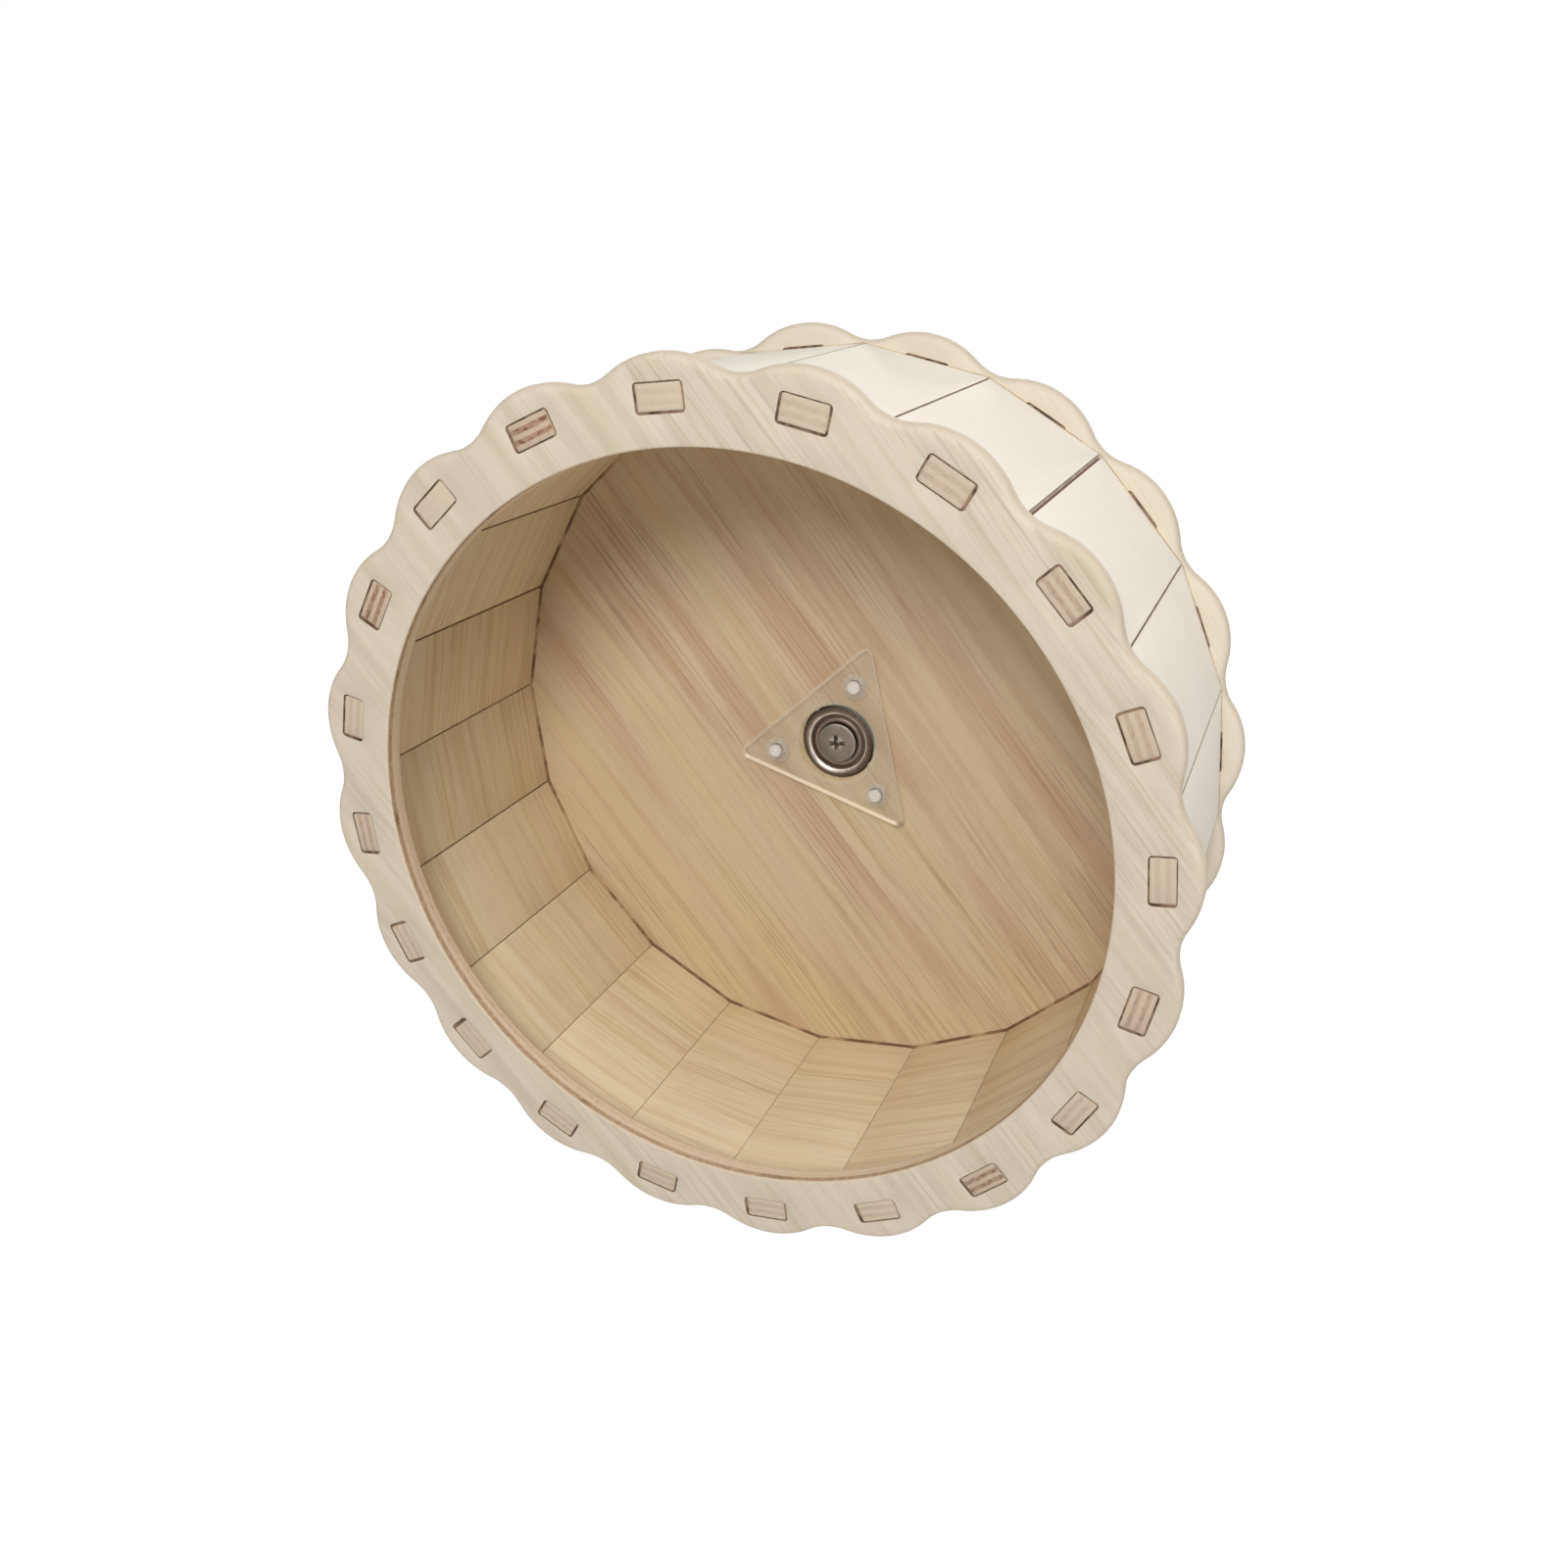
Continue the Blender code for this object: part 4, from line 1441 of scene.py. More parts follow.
    def build_beads(self) -> None:
        """Run thin beads of glue along the corners that each slat makes with the disc."""
        inner, outer = self.running_radius, self.running_radius + self.slat_thickness
        whole, corner = inner * tan(self.half_pitch), outer * tan(self.half_pitch)
        tenon = self.tenon_width / 2 + self.closed_gap
        seams = (
            (INNER_SEAM, inner, -self.bead, [(-whole, whole)]),
            (OUTER_SEAM, outer, self.outer_bead, [(-corner, -tenon), (tenon, corner)]),
        )
        for finish, radius, out, stretches in seams:
            shell = Shell()
            face, high = self.disc.front, self.disc.front - abs(out)
            section = [(0.0, face), (out, face), (out * self.bead_top, high), (0.0, high)]
            for index in range(self.slat_count):
                turn = Matrix.Rotation(self.angle(index), 2)
                for stretch in stretches:
                    ends = []
                    for side in stretch:
                        places = [(turn @ Vector((radius + rise, side)), y) for rise, y in section]
                        ends.append(shell.loop((place.x, y, place.y) for place, y in places))
                    shell.skin(ends, capped=True)
            mesh = shell.mesh(finish.name)
            piece(f"{finish.name}_glue", mesh, [finish.material()], Body.WHEEL, "slat_ply")

    def slat_outline(self) -> list[Point]:
        """Draw a slat with its two tenons, laid flat: tangential and axial.

        Returns:
            The outline, anticlockwise.
        """
        side, tenon = self.running_radius * tan(self.half_pitch), self.tenon_width / 2
        half = [
            (tenon, self.ring.front),
            (tenon, self.ring.back),
            (side, self.ring.back),
            (side, self.disc.front),
            (tenon, self.disc.front),
            (tenon, self.disc.back),
        ]
        rounds = [self.tenon_corner, 0.0, 0.0, 0.0, 0.0, self.tenon_corner]
        corners = half + [(-x, y) for x, y in reversed(half)]
        return softened(corners, rounds + rounds[::-1], 3)

    def gap(self, deep: float, inside: float, outside: float) -> float:
        """How far a slat stands back from its neighbour: closed in the middle of its thickness.

        Args:
            deep: The depth, from the running side.
            inside: The gap on the running side.
            outside: The gap on the outer side.

        Returns:
            The gap at that depth.
        """
        if deep < self.groove_depth + MERGE_DISTANCE:
            return inside
        if deep > self.slat_thickness - self.groove_depth - MERGE_DISTANCE:
            return outside
        return self.closed_gap

    def slat_mesh(self, fit: Fit, following: Fit, flush: float) -> bpy.types.Mesh:
        """Make a slat as it lies at the top of the drum.

        Args:
            fit: How it sits.
            following: How the next slat sits.
            flush: How far its tenon stands back from the ring's face.

        Returns:
            The mesh, with its zones for materials.
        """
        thick, groove = self.slat_thickness, self.groove_depth
        closed = groove + self.groove_floor
        levels = (groove, closed, thick - closed, thick - groove)
        cut = Cut(self.slat_outline(), self.slat_round, steps=2, levels=levels)
        shell = board([cut], thick)
        flare = tan(self.half_pitch)
        near = self.slat_round + MERGE_DISTANCE
        for vert in shell.bm.verts:
            x, deep, y = vert.co
            joint = fit if x < 0.0 else following
            if abs(x) > self.tenon_width / 2 + self.slat_side:
                beside = self.gap(deep, joint.joint, joint.joint_outside)
                x += copysign(1.0, x) * (flare * deep - beside / 2)
            if abs(y - self.ring.back) < near:
                y += self.gap(deep, self.ring_gap, self.ring_gap)
            elif abs(y - self.disc.front) < near:
                y -= self.gap(deep, self.disc_gap, self.disc_gap)
            elif y < self.ring.back:
                y += flush
            vert.co = (x, y, self.running_radius + deep)
        mesh = shell.mesh("slat")
        low, high = self.ring.back - self.shoulder_zone, self.disc.front + self.shoulder_zone
        for polygon in mesh.polygons:
            if abs(polygon.normal.z) <= self.slat_flat:
                at_end = abs(polygon.normal.y) > 0.5 and not low < polygon.center.y < high
                polygon.material_index = (Zone.TENON if at_end else Zone.SLOT).value
        return mesh

    def build_slats(self, draw: random.Random) -> None:
        """Make the slats, each from its own stretch of wood.

        Args:
            draw: What picks the wood and how far each tenon stands back.
        """
        ply = [SLAT_PLY.material()]
        front = Vector((0.0, 0.0, self.running_radius))
        for index, fit in enumerate(self.fits):
            number = index + 1
            following = self.fits[number % self.slat_count]
            mesh = self.slat_mesh(fit, following, draw.uniform(0.0, self.stand_back))
            grain = Grain(*Matrix.Identity(3), front, self.pick(draw))
            grain.lay(mesh, fit.stripes, fit.tone, fit.scorch)
            turn = Matrix.Rotation(pi / 2 - self.angle(index), 4, "Y")
            node = f"slat_{number:02d}"
            piece(f"{node}_ply", mesh, ply, Body.WHEEL, "slat_ply", [node], turn)

    def build(self, rivets: Sequence[Cut]) -> None:
        """Build the whole drum.

        Args:
            rivets: The disc's holes for the rivets.
        """
        draw = random.Random(self.seed)
        self.build_boards(draw, rivets)
        self.build_slats(draw)
        self.build_glue_and_shade()
        self.build_beads()


@dataclass
class Hub:
    """The clear plates, their rivets, the bearing and the axle screw."""

    plate_angle: float = radians(72.5)
    plate_inradius: float = 0.0144
    plate_corner: float = 0.0020
    lip_depth: float = 0.00030
    lip_round: float = 0.00016
    bevel_run: float = 0.00078
    bevel_slope: float = 0.69
    bright_slope: float = 0.3  # how far down a bevel has to look to be the bright one
    hole_round: float = 0.0003
    bearing_hole: float = 0.0099
    retaining_hole: float = 0.0075
    rivet_circle: float = 0.0166
    rivet_hole: float = 0.0020
    rivet_shank: float = 0.0019
    rivet_flange: float = 0.0005
    rivet_seat: float = 0.0002  # how far a head's seat lies in front of the plate
    rivet_steps: int = 64
    small_steps: int = 32  # round the rivets' holes and their pins
    corner_steps: int = 12  # round a corner of the plates
    dome_share: float = 0.9  # of a head's radius, for its dome
    flange_top: float = 0.93  # of that radius, where the flange's top ends
    flange_side: float = 0.6  # of the flange's height, for its side
    pocket_gap: float = 0.0003  # between a shank's end and its cap
    pin_radius: float = 0.0021
    pin_sink: float = 0.0003
    pin_length: float = 0.0009
    pin_taper: float = 0.8  # its foot's radius, as a share of its own
    pin_round: float = 0.0007
    pin_foot_round: float = 0.0002
    race_round: float = 0.00035
    race_opening: float = 0.0086  # radius of the outer race's mouth
    race_lip: float = 0.0002  # round of its mouth
    race_shoulder: float = 0.00745
    race_slope: float = 0.0003  # of the shoulder's side
    race_wall: float = 0.00125  # behind the balls' groove
    ball_circle: float = 0.00625
    ball_count: int = 7
    shield_dish: float = 0.0075  # where its hollow rim ends
    shield_step: float = 0.00035  # from there to its flat
    shield_lip: float = 0.00525
    shield_lip_rise: float = 0.00022
    shield_sheet: float = 0.00020
    shield_sink: float = 0.0006
    shield_start: float = 0.00004  # the depth where the rim starts to dish
    shield_gap: float = 0.00013  # between the rim and the race's mouth
    shield_hem: Point = (0.00008, 0.00006)  # how far its edge turns out, and how deep it lies
    shield_ridge: tuple[Point, ...] = (  # radius and height over the shield's flat
        (0.00650, 0.00006),
        (0.00625, 0.00020),
        (0.00600, 0.00028),
        (0.00578, 0.00027),
        (0.00562, 0.00023),
        (0.00552, 0.00020),
    )
    screw_shank: float = 0.0030
    head_crown: float = 0.00045
    head_sink: float = 0.0002
    head_gap: float = 0.00002  # to the race
    head_edge: tuple[Point, ...] = (  # how far its points lie in from the side and behind the crown
        (0.00018, 0.0),
        (0.00004, 0.00006),
        (0.0, 0.00016),
    )
    thread_pitch: float = 0.0010
    thread_depth: float = 0.0005
    thread_steps: int = 10  # rows to a turn
    thread_flank: float = 1.3  # the steepness of its flanks
    thread_root: float = 0.12  # how far they are set back, which leaves a flat root
    recess_span: float = 0.0040
    recess_arm: float = 0.0010
    recess_depth: float = 0.0018
    recess_mouth: float = 0.00022  # the depth of its worn mouth
    recess_shade_depth: float = 0.0002  # the depth from which its steel is painted dark, as shade in the recess
    recess_reach: float = 0.62  # how far out that steel may lie, as a share of the span
    recess_taper: float = 0.45
    recess_flare: float = 1.22
    recess_angle: float = radians(6)
    front_plate: Station = field(default_factory=lambda: Station.of("hub_plate_front"))
    rear_plate: Station = field(default_factory=lambda: Station.of("hub_plate_rear"))
    race: Station = field(default_factory=lambda: Station.of("bearing_outer_race"))
    screw: Station = field(default_factory=lambda: Station.of("axle_screw"))
    lock_nut: Station = field(default_factory=lambda: Station.of("axle_lock_nut"))

    def rivet_angles(self) -> list[float]:
        """The angles of the plates' corners and their rivets."""
        return [self.plate_angle + k * 2 * pi / 3 for k in range(3)]

    def rivet_centres(self) -> list[Point]:
        """Where the rivets stand."""
        return [polar(self.rivet_circle, angle) for angle in self.rivet_angles()]

    def rivet_cuts(self) -> list[Cut]:
        """The holes that the rivets need in a board."""
        holes = [circle(self.rivet_hole, self.small_steps, at) for at in self.rivet_centres()]
        return [Cut(hole, BREAK, hole=True, steps=2) for hole in holes]

    def build_plates(self) -> None:
        """Make the two clear triangles; the bevels lie on the side of the wood."""
        corner_circle = 2 * (self.plate_inradius - self.plate_corner)
        outline: list[Point] = []
        for angle in self.rivet_angles():
            centre = polar(corner_circle, angle)
            start, end = angle - pi / 3, angle + pi / 3
            outline += arc(centre, self.plate_corner, start, end, self.corner_steps)
        order = (CLEAR_SHEET, CLEAR_SEAT, SAWN_EDGE, BRIGHT_BEVEL)
        materials = [finish.material() for finish in order]
        foot = self.lip_depth + self.bevel_run * self.bevel_slope
        sides = {
            "hub_plate_front": (self.front_plate, self.bearing_hole, 1.0),
            "hub_plate_rear": (self.rear_plate, self.retaining_hole, -1.0),
        }
        for node, (station, hole_radius, facing) in sides.items():
            profile = (
                (self.lip_round, 0.0),
                (self.lip_round / 4, BREAK / 2),
                (0.0, self.lip_round),
                (0.0, self.lip_depth),
                (self.bevel_run, foot),
                (self.bevel_run, station.length - BREAK),
                (self.bevel_run + BREAK, station.length),
            )
            if facing < 0.0:
                profile = tuple((pull, station.length - deep) for pull, deep in reversed(profile))
            hole = Cut(circle(hole_radius, TURN_STEPS), self.hole_round, hole=True, steps=3)
            cuts = [Cut(outline, profile=profile), hole, *self.rivet_cuts()]
            mesh = board(cuts, station.length, station.front).mesh(node)
            air = station.front if facing > 0.0 else station.back
            for polygon in mesh.polygons:
                x, y, z = polygon.center
                toward_wood = polygon.normal.y * facing
                in_hole = sqrt(x * x + z * z) < self.bearing_hole + self.hole_round
                past_bevel = toward_wood > SQUARE_ON or abs(y - air) > foot
                if past_bevel or (in_hole and toward_wood > -SQUARE_ON):
                    finish = CLEAR_SEAT
                elif toward_wood < -SQUARE_ON:
                    finish = CLEAR_SHEET
                # painted light: only the downward bevels take the mirror finish
                elif toward_wood > 0.5 and polygon.normal.z < -self.bright_slope:
                    finish = BRIGHT_BEVEL
                else:
                    finish = SAWN_EDGE
                polygon.material_index = order.index(finish)
            piece(f"{node}_sheet", mesh, materials, Body.WHEEL, "clear_acrylic", [node])

    def build_rivets(self) -> None:
        """Make the clear rivets, the milky push pins in their heads, and their caps."""
        finishes = [CLEAR_RIVET.material(), RIVET_SHANK.material()]
        core = RIVET_CORE.material()
        for number, (x, z) in enumerate(self.rivet_centres(), start=1):
            node, cap = f"rivet_{number}", f"rivet_cap_{number}"
            stem, lid = Station.of(node), Station.of(cap)
            rivet = self._rivet(stem).mesh(node)
            for polygon in rivet.polygons:
                polygon.material_index = int(polygon.center.y > self.front_plate.front)
            front, radius = stem.front + self.pin_sink, self.pin_radius
            back = front + self.pin_length
            foot = radius * self.pin_taper
            corners = [(0.0, front), (radius, front), (foot, back), (0.0, back)]
            rounds = [0.0, self.pin_round, self.pin_foot_round, 0.0]
            pin = turned(corners, rounds, steps=5, round_steps=self.small_steps)
            made = {
                f"{node}_clear": (rivet, finishes, [node]),
                f"{node}_pin": (pin.mesh(f"{node}_pin"), [core], []),
                f"{cap}_clear": (self._rivet_cap(lid, stem.back).mesh(cap), finishes[:1], [cap]),
            }
            at = Matrix.Translation((x, 0.0, z))
            for name, (mesh, materials, nodes) in made.items():
                piece(name, mesh, materials, Body.WHEEL, "clear_rivet", nodes, at)

    def _dome(self, reach: float, base: float, crown: float) -> list[Point]:
        """Draw the dome of a head, from its crown on the axis to its base.

        Args:
            reach: The head's radius.
            base: The Y of the dome's base.
            crown: The Y of its crown.

        Returns:
            The points.
        """
        share, angles = self.dome_share, [k * pi / 20 for k in range(11)]
        return [(reach * share * sin(a), base + (crown - base) * cos(a)) for a in angles]

    def _rivet(self, stem: Station) -> Shell:
        """Turn a rivet: a domed head on a thin flange, and a shank.

        Args:
            stem: Where the rivet lies.

        Returns:
            The rivet.
        """
        head, shank = stem.reach, self.rivet_shank
        seat = self.front_plate.front - self.rivet_seat
        profile = [
            *self._dome(head, seat - self.rivet_flange, stem.front),
            (head * self.flange_top, seat - self.rivet_flange),
            (head, seat - self.rivet_flange * self.flange_side),
            (head, seat - BREAK),
            (head - BREAK, seat),
            (shank, seat),
            (shank, stem.back - 2 * BREAK),
            (shank - 3 * BREAK, stem.back),
            (0.0, stem.back),
        ]
        return lathe(steady(*profile), closed=False, steps=self.rivet_steps)

    def _rivet_cap(self, cap: Station, stem_end: float) -> Shell:
        """Turn a rivet's cap, hollow where the shank goes in.

        Args:
            cap: Where the cap lies.
            stem_end: The Y of the shank's end.

        Returns:
            The cap.
        """
        pocket = stem_end + self.pocket_gap
        profile = [
            *self._dome(cap.reach, cap.front + self.rivet_flange, cap.back),
            (cap.reach, cap.front + self.rivet_flange * self.flange_side),
            (cap.reach, cap.front),
            (self.rivet_hole, cap.front),
            (self.rivet_hole, pocket),
            (0.0, pocket),
        ]
        return lathe(steady(*profile), closed=False, steps=self.rivet_steps)

    def build_bearing(self) -> None:
        """Make the outer race and the shields; what they hide keeps its shape."""
        middle, half = self.race.middle, self.race.length / 2
        seat = half - self.shield_sink
        opening, shoulder = self.race_opening, self.race_shoulder
        groove_radius = self.race.reach - self.race_wall - self.ball_circle
        groove = [
            (self.ball_circle + groove_radius * sin(a), -groove_radius * cos(a))
            for a in (pi * k / 16 for k in range(2, 15))
        ]
        groove = [(radius, y) for radius, y in groove if radius > shoulder]
        mouth = [
            (self.race.reach, -half),
            (opening, -half),
            (opening, -seat),
            (shoulder, self.race_slope - seat),
        ]
        corners = mouth + groove + [(radius, -y) for radius, y in reversed(mouth)]
        rounds = [self.race_round, self.race_lip, 0.0, 0.0]
        radii = rounds + [0.0] * len(groove) + rounds[::-1]
        race = turned([(radius, middle + y) for radius, y in corners], radii)
        steel, bright = RACE_STEEL_SHADED_EDGE.material(), SHIELD_STEEL_PAINTED_LIGHT.material()
        node = "bearing_outer_race"
        piece("bearing_race_ground", race.mesh(node), [steel], Body.WHEEL, "bearing_steel", [node])
        for node, side in (("bearing_shield_front", -1), ("bearing_shield_rear", 1)):
            points = [(radius, middle + side * (half - y)) for radius, y in self._shield_profile()]
            shield = lathe(steady(*points)).mesh(node)
            piece(f"{node}_pressed", shield, [bright], Body.WHEEL, "shield_steel", [node])
        dress("bearing_inner_race", steel)
        dress("bearing_cage", CAGE_STEEL.material())
        for number in range(1, self.ball_count + 1):
            dress(f"bearing_ball_{number}", steel)

    def _shield_profile(self) -> list[Point]:
        """Draw a pressed shield: a dished rim, a flat, and a low ridge round the lip.

        Returns:
            The closed profile, its radii and depths below the bearing's face.
        """
        sink, rim = self.shield_sink, self.race_opening - self.shield_gap
        run, start = rim - self.shield_dish, self.shield_start
        hem, hem_depth = self.shield_hem
        outer = [
            (rim + hem, hem_depth),
            *[(rim - run * k / 9, start + sink * sin(k / 9 * pi / 2)) for k in range(10)],
            (self.shield_dish - self.shield_step, sink),
            *[(radius, sink - rise) for radius, rise in self.shield_ridge],
            (self.shield_lip, sink - self.shield_lip_rise),
        ]
        return outer + [(radius, deep + self.shield_sheet) for radius, deep in reversed(outer)]

    def build_screw(self) -> None:
        """Make the axle screw: a low head with a worn cross recess, and a rolled thread."""
        head_front, tip = self.screw.front + self.head_sink, self.screw.back
        head_back, rim = self.race.front - self.head_gap, head_front + self.head_crown
        reach, shank = self.screw.reach, self.screw_shank - BREAK
        head = [
            *[(reach * k / 10, head_front + self.head_crown * (k / 10) ** 2) for k in range(10)],
            *[(reach - pull, rim + deep) for pull, deep in self.head_edge],
            (reach, head_back - BREAK),
            (reach - BREAK, head_back),
            (shank, head_back),
            (shank, self.lock_nut.front),
        ]
        core = self.screw_shank - self.thread_depth
        rows = steady(*head) + self._thread_rows(self.lock_nut.front, tip)
        rows += steady((core - 2 * BREAK, tip), (0.0, tip))
        body = lathe(rows, closed=False).mesh("axle_screw")
        mesh = carved(body, self._recess(head_front).mesh("recess", sharp=0.0))
        mesh.set_sharp_from_angle(angle=SHARP_ANGLE)
        # painted shade: faces deep in the recess take the dark steel
        for polygon in mesh.polygons:
            x, y, z = polygon.center
            in_recess = sqrt(x * x + z * z) < self.recess_span * self.recess_reach
            below = head_front + self.recess_shade_depth < y < head_back
            polygon.material_index = int(in_recess and below)
        steel = [SCREW_STEEL_WITH_GLINTS.material(), RECESS_SHADE.material()]
        piece("axle_screw_plated", mesh, steel, Body.AXLE, "screw_steel", ["axle_screw"])

    def _thread_rows(self, start: float, tip: float) -> list[Row]:
        """Lay out the rows of a thread.

        Args:
            start: The Y where it starts.
            tip: The Y of the screw's end.

        Returns:
            The rows.
        """
        count = ceil((tip - start) / self.thread_pitch * self.thread_steps)
        core = self.screw_shank - self.thread_depth

        def row(y: float) -> Row:
            """Lay out the thread's outline at one Y.

            Args:
                y: The Y.

            Returns:
                The row.
            """

            def at(angle: float) -> Point:
                """Find its point at one angle, drawn in near the tip.

                Args:
                    angle: The angle.

                Returns:
                    Its radius and its Y.
                """
                phase = (y / self.thread_pitch - angle / (2 * pi)) % 1.0
                tooth = max(0.0, min(1.0, abs(2 * phase - 1) * self.thread_flank - self.thread_root))
                lead = core - 2 * BREAK + (tip - y)
                return min(core - BREAK / 2 + self.thread_depth * tooth, lead), y

            return at

        return [row(start + (tip - start) * k / count) for k in range(1, count)]

    def _recess(self, head_front: float) -> Shell:
        """Make the cutter of the cross recess.

        Args:
            head_front: The Y of the head's face.

        Returns:
            The cutter.
        """
        far, near = self.recess_span / 2, self.recess_arm / 2
        outline: list[Point] = []
        for quarter in range(4):
            for along, across in ((far, -near), (far, near), (near, near)):
                angle = atan2(across, along) + quarter * pi / 2 + self.recess_angle
                outline.append(polar(sqrt(along**2 + across**2), angle))
        sections = (
            (self.recess_flare + 0.1, -2 * BREAK),
            (self.recess_flare, 0.0),
            (1.0, self.recess_mouth),
            (self.recess_taper, self.recess_depth),
        )
        shell = Shell()
        loops = [
            shell.loop((x * share, head_front + deep, z * share) for x, z in outline)
            for share, deep in sections
        ]
        shell.skin(loops, capped=True)
        return shell

    def build(self) -> None:
        """Build the whole hub."""
        self.build_plates()
        self.build_rivets()
        self.build_bearing()
        self.build_screw()


@dataclass
class Clamp:
    """The lock nut, the washers and the wing nut that clamp the wheel to a cage wall."""

    bore: float = 0.0030
    nut_flat: float = 0.0050  # half the nut's width across flats
    nut_chamfer: float = radians(30)
    nut_collar: float = 0.0014
    nut_entry: float = 0.0004  # the chamfer of its bore
    chamfer_share: float = 0.98  # of nut_flat, from where the corners fall back
    face_share: float = 0.95  # of nut_flat, for the round face
    collar_share: float = 0.90  # of nut_flat, for the collar
    collar_round: float = 0.0006
    collar_bulge: float = 0.0002  # how far in and down the round's middle lies
    ring_width: float = 0.0007  # of the nylon
    washer_round: float = 0.0004
    wall_round: float = 0.00012  # of the washers' edge on the wall's side
    bore_round: float = 0.00015
    wing_thickness: float = 0.0022
    wing_tip_radius: float = 0.0030
    wing_reach: float = 0.0140
    wing_rise: float = 0.0120
    wing_round: float = 0.0006
    wing_flat: float = 0.45  # of its half thickness, where its rounded edge starts
    wing_root: float = 0.7  # of neck_radius, where it grows out of the barrel
    wing_foot: float = 0.0012  # how far its lower edge starts above the seat
    wing_drop: float = 0.0011  # how far its upper edge starts below the barrel's top
    base_radius: float = 0.0065
    base_round: float = 0.0005
    neck_radius: float = 0.0050
    neck_round: float = 0.0008
    barrel_height: float = 0.0090
    countersink: float = 0.0014
    voxel: float = 0.00022
    lock_nut: Station = field(default_factory=lambda: Station.of("axle_lock_nut"))
    wing_nut: Station = field(default_factory=lambda: Station.of("wing_nut"))

    def hexagon(self, edge: float, slope: float) -> Row:
        """Lay out one of the chamfered edges of the lock nut's hexagon.

        Args:
            edge: The Y of the edge at the flats.
            slope: How much Y changes towards the corners.

        Returns:
            The row.
        """

        def at(angle: float) -> Point:
            """Its point at one angle."""
            reach = self.nut_flat / cos((angle + pi / 6) % (pi / 3) - pi / 6)
            return reach, edge + max(0.0, reach - self.nut_flat * self.chamfer_share) * slope

        return at

    def build_lock_nut(self, zinc: bpy.types.Material) -> None:
        """Make the lock nut, with a nylon ring in its collar.

        Args:
            zinc: Its finish.
        """
        front, back = self.lock_nut.front, self.lock_nut.back
        shoulder = back - self.nut_collar
        slope = tan(self.nut_chamfer)
        bore, ring = self.bore, self.bore + self.ring_width
        face, collar = self.nut_flat * self.face_share, self.nut_flat * self.collar_share
        entry, soft, bulge = self.nut_entry, self.collar_round, self.collar_bulge
        rows = [
            *steady((bore, front + entry), (bore + entry, front), (face, front)),
            self.hexagon(front, slope),
            self.hexagon(shoulder, -slope),
            *steady((face, shoulder), (collar, shoulder + BREAK), (collar, back - soft)),
            *steady((collar - bulge, back - bulge), (collar - soft, back)),
            *steady((ring + BREAK, back), (ring + BREAK, shoulder), (bore, shoulder)),
        ]
        mesh = lathe(rows).mesh("axle_lock_nut")
        piece("axle_lock_nut_hex", mesh, [zinc], Body.AXLE, "zinc_steel", ["axle_lock_nut"])
        inside, high, low = bore + BREAK / 2, back - BREAK, shoulder + BREAK
        corners = [(inside, high), (ring, high), (ring, low), (inside, low)]
        nylon = turned(corners, [BREAK] * 4).mesh("lock_nylon")
        piece("axle_lock_nut_nylon", nylon, [LOCK_NYLON.material()], Body.AXLE, "zinc_steel")

    def build_washers(self, zinc: bpy.types.Material) -> None:
        """Make the two washers, stamped with one round edge.

        Args:
            zinc: Their finish.
        """
        washers = {
            "clamp_washer_inner": (Body.AXLE, 1),
            "clamp_washer_outer": (Body.CLAMP_WASHER, -1),
        }
        for node, (body, faces_wall) in washers.items():
            station = Station.of(node)
            wall, away = (station.back, station.front)[::faces_wall]
            reach, bore = station.reach, self.bore
            corners = [(bore, wall), (reach, wall), (reach, away), (bore, away)]
            radii = [self.bore_round, self.wall_round, self.washer_round, self.washer_round]
            mesh = turned(corners, radii).mesh(node)
            piece(f"{node}_stamped", mesh, [zinc], body, "zinc_steel", [node])

    def build_wing_nut(self, zinc: bpy.types.Material) -> None:
        """Make the wing nut as one casting, and bore it.

        Args:
            zinc: Its finish.
        """
        front = self.wing_nut.front
        back = front + self.barrel_height
        barrel = [(0.0, front), (self.base_radius, front), (self.neck_radius, back), (0.0, back)]
        casting = turned(barrel, [0.0, self.base_round, self.neck_round, 0.0])
        self._add_wings(casting, front)
        settings = {
            "REMESH": {"mode": "VOXEL", "voxel_size": self.voxel, "use_smooth_shade": True},
            "SMOOTH": {"factor": 0.5, "iterations": 8},
        }
        cast = settled(casting.mesh("wing_nut"), settings)
        wide, over, under = self.bore + self.countersink, 0.001, 0.0004
        bore = [
            (0.0, front - over),
            (wide, front - over),
            (self.bore, front + under),
            (self.bore, back - under),
            (wide, back + over),
            (0.0, back + over),
        ]
        mesh = carved(cast, turned(bore, [0.0] * len(bore)).mesh("bore"))
        mesh.shade_smooth()
        mesh.set_sharp_from_angle(angle=SHARP_ANGLE)
        piece("wing_nut_cast", mesh, [zinc], Body.WING_NUT, "zinc_steel", ["wing_nut"])

    def _add_wings(self, casting: Shell, front: float) -> None:
        """Add the two wings to the casting.

        Args:
            casting: The casting.
            front: The Y of the nut's seat.
        """
        radius, root = self.wing_tip_radius, self.neck_radius * self.wing_root
        tip = (self.wing_reach - radius, front + self.wing_rise - radius)
        half, soft, flat = self.wing_thickness / 2, self.wing_round, self.wing_flat
        outline = [
            (root, front + self.wing_foot),
            *arc(tip, radius, -pi / 3, 2 * pi / 3, 10),
            (root, front + self.barrel_height - self.wing_drop),
        ]
        layers = ((soft, -1.0), (0.0, -flat), (0.0, flat), (soft, 1.0))
        for side in (1, -1):
            loops = [
                casting.loop((side * x, y, z * half) for x, y in inset(outline, pull))
                for pull, z in layers
            ]
            casting.skin(loops, capped=True)

    def build(self) -> None:
        """Build the whole clamp."""
        zinc = ZINC_STEEL.material()
        self.build_lock_nut(zinc)
        self.build_washers(zinc)
        self.build_wing_nut(zinc)


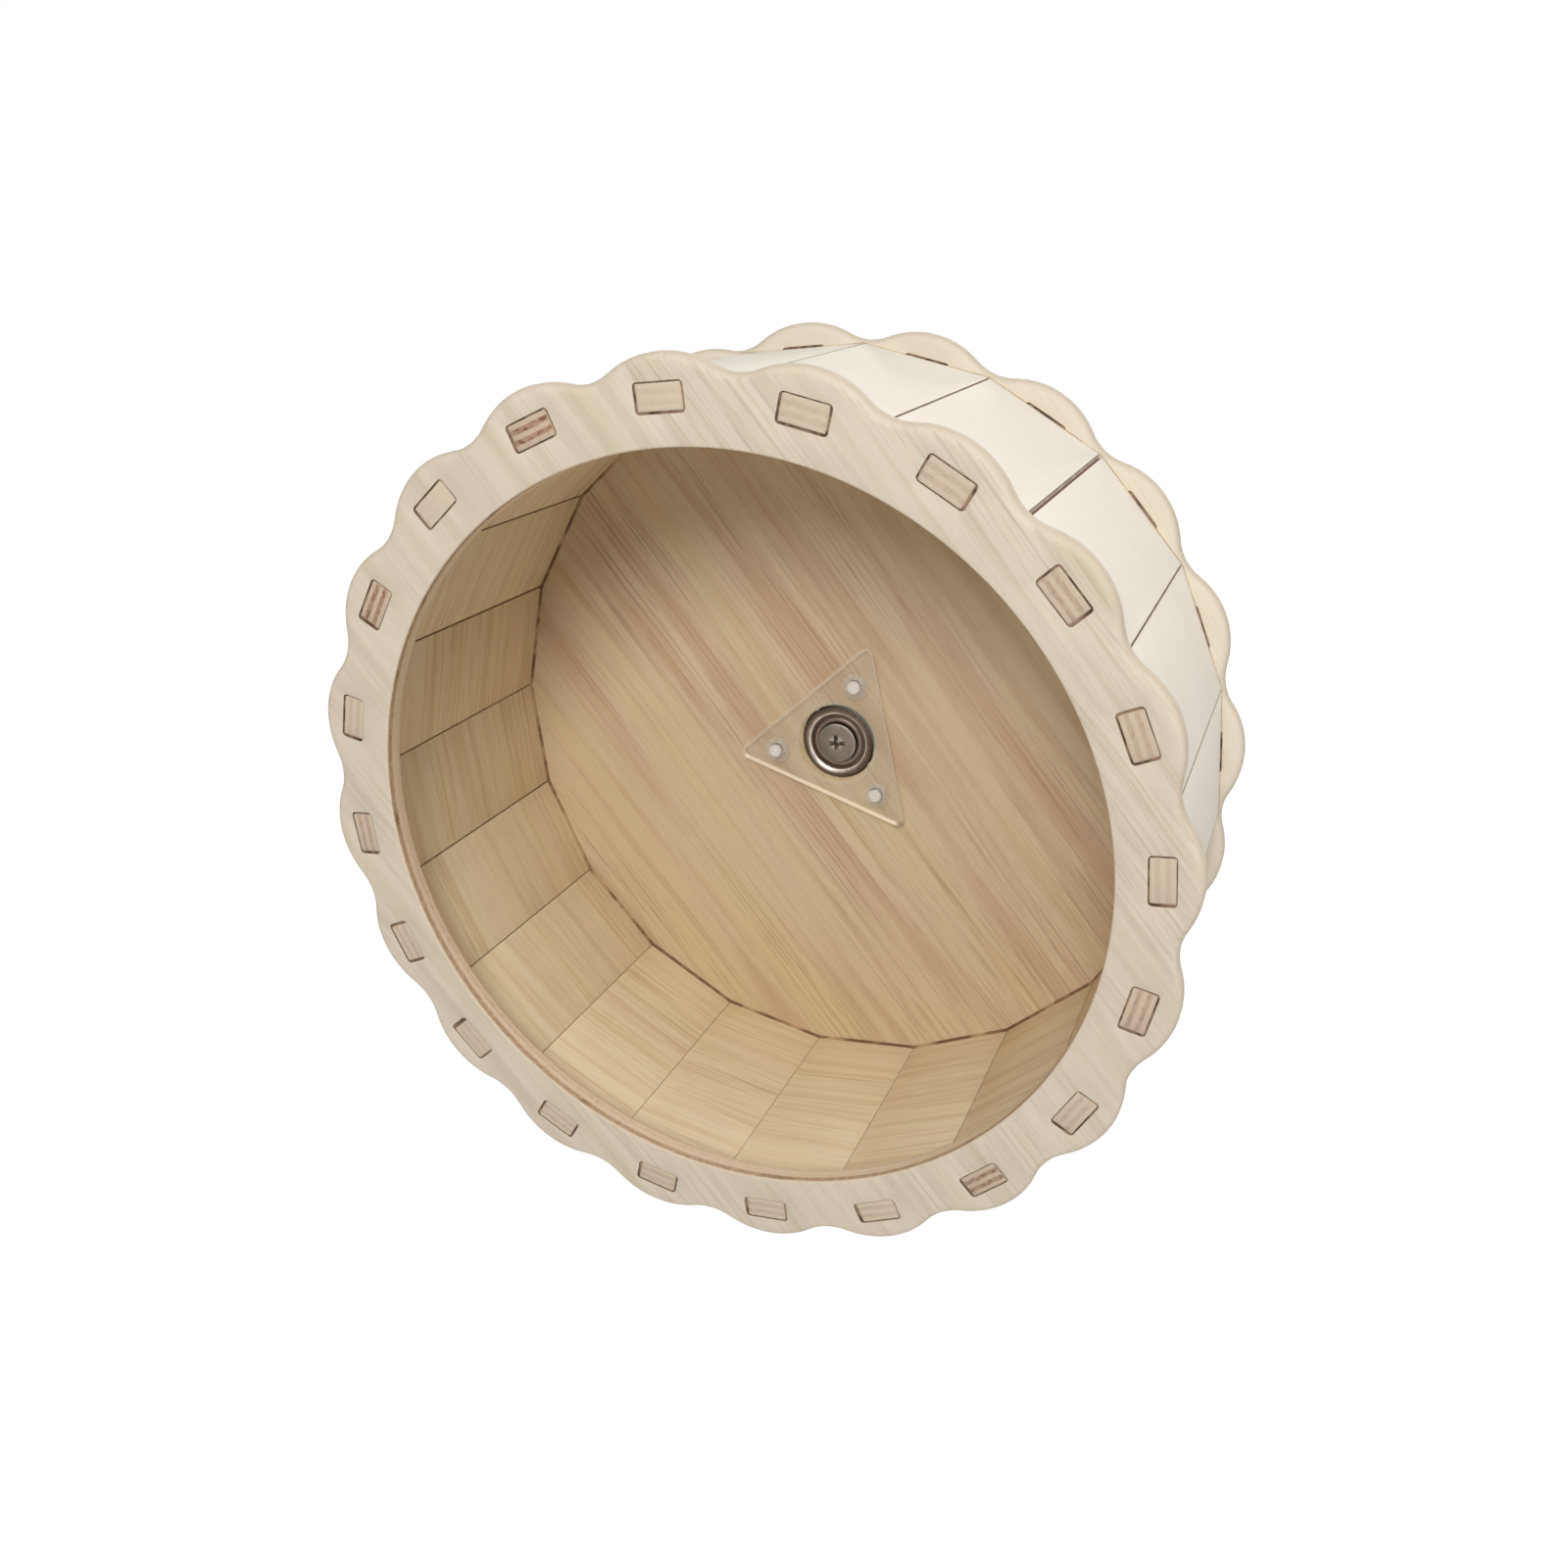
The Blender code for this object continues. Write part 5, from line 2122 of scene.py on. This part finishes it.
@dataclass(frozen=True)
class Lamp:
    """A round soft lamp."""

    name: str
    azimuth: float  # from the mouth's side, towards +X
    elevation: float
    strength: float  # what falls on a sheet at the wheel's middle; pi shows white as white
    spread: float = radians(45)  # how wide it looks from there
    distance: float | None = None  # None is as far as the sun


@dataclass
class Studio:
    """The camera of the photograph, soft light, and a white floor that fades into the white."""

    azimuth: float = radians(20.984)
    elevation: float = radians(26.296)
    distance: float = 0.2941
    slide_right: float = 0.01884
    slide_up: float = -0.00816
    focal_pixels: float = 1413.7
    optical_centre: Point = (824.1, 911.5)  # pixels of the photograph
    picture_side: float = 1600.0
    sensor: float = 36.0
    nearest: float = 0.01  # what the camera sees starts here
    floor_height: float = -0.34
    floor_side: float = 6.0
    floor_glow: float = 0.60
    ambient: float = 0.02
    lamps: tuple[Lamp, ...] = (
        Lamp("key", radians(9), radians(31.5), 1.78, radians(21), 0.85),
        Lamp("side", radians(97), radians(36), 1.00),
        Lamp("top", radians(20), radians(68), 0.86),
        Lamp("back", radians(155), radians(30), 0.50),
        Lamp("rear", radians(190), radians(2), 1.10, radians(24)),
    )
    mouth: Station = field(default_factory=lambda: Station.of("front_ring"))

    def build_camera(self) -> None:
        """Place the camera by the mouth ring's front face."""
        back = sight(self.azimuth, self.elevation)
        right = Vector((cos(self.azimuth), sin(self.azimuth), 0.0))
        up = back.cross(right)
        centre = Vector((0.0, self.mouth.front, 0.0))
        data = bpy.data.cameras.new("camera")
        data.sensor_width = self.sensor
        data.lens = self.focal_pixels / self.picture_side * self.sensor
        data.shift_x = 0.5 - self.optical_centre[0] / self.picture_side
        data.shift_y = self.optical_centre[1] / self.picture_side - 0.5
        data.clip_start = self.nearest
        camera = placed("camera", data)
        place = centre + back * self.distance + right * self.slide_right + up * self.slide_up
        turn = Matrix((right, up, back)).transposed().to_4x4()
        camera.matrix_world = Matrix.Translation(place) @ turn
        bpy.context.scene.camera = camera

    @staticmethod
    def seen(graph: Graph, unseen: Signal, shown: Signal) -> None:
        """Show one shader to what sees a surface, and light the rest by another.

        Args:
            graph: The graph that ends in them.
            unseen: What diffuse rays meet.
            shown: What camera, glossy and transmission rays meet.
        """
        camera = graph.node("ShaderNodeLightPath", output="Is Camera Ray")
        outputs = camera.socket.node.outputs
        glossy = Signal(graph, outputs["Is Glossy Ray"])
        through = Signal(graph, outputs["Is Transmission Ray"])
        share = camera.math("MAXIMUM", camera, glossy.math("MAXIMUM", glossy, through))
        graph.finish(graph.blend(share, unseen, shown))

    def build_world(self) -> None:
        """Light the object softly from all round, and show white behind it."""
        world = bpy.data.worlds.new("studio")
        world.use_nodes = True
        bpy.context.scene.world = world
        graph = Graph(world.node_tree, "ShaderNodeOutputWorld")
        dim, bright = (
            graph.node("ShaderNodeBackground", None, {0: WHITE, 1: strength})
            for strength in (self.ambient, 1.0)
        )
        self.seen(graph, dim, bright)

    def build_floor(self) -> None:
        """Lay a pale floor far enough below for its shadow to fall out of the picture."""
        half, height = self.floor_side / 2, self.floor_height
        shell = Shell()
        corners = [(-half, -half), (half, -half), (half, half), (-half, half)]
        shell.bm.faces.new(shell.loop((x, y, height) for x, y in corners))
        material, graph = Graph.of_material("floor")
        matt = graph.node("ShaderNodeBsdfDiffuse", None, {"Color": MATT_WHITE})
        glow = graph.node("ShaderNodeEmission", None, {0: WHITE, 1: self.floor_glow})
        self.seen(graph, matt, graph.node("ShaderNodeAddShader", None, {0: matt, 1: glow}))
        mesh = shell.mesh("floor")
        mesh.materials.append(material)
        floor = placed("floor", mesh)

    def add_lamp(self, lamp: Lamp) -> None:
        """Hang a soft lamp that faces the wheel's middle.

        Args:
            lamp: The lamp.
        """
        data = bpy.data.lights.new(lamp.name, "AREA" if lamp.distance else "SUN")
        if lamp.distance:
            data.shape = "DISK"
            data.size = 2 * lamp.distance * tan(lamp.spread / 2)
            data.energy = lamp.strength * pi * lamp.distance**2
        else:
            data.angle = lamp.spread
            data.energy = lamp.strength
        hung = placed(lamp.name, data)
        toward = sight(lamp.azimuth, lamp.elevation)
        hung.location = toward * (lamp.distance or 1.0)
        hung.rotation_euler = toward.to_track_quat("Z", "Y").to_euler()

    def build(self) -> None:
        """Set up the whole studio."""
        bpy.context.scene.view_settings.view_transform = "Standard"
        self.build_camera()
        self.build_world()
        self.build_floor()
        for lamp in self.lamps:
            self.add_lamp(lamp)


def main() -> None:
    """Build each sub-assembly in order, then the studio."""
    logging.basicConfig(level=logging.INFO, format="%(name)s: %(message)s")
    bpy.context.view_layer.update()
    hub = Hub()
    Drum().build(hub.rivet_cuts())
    hub.build()
    Clamp().build()
    Studio().build()


if __name__ == "__main__":
    main()
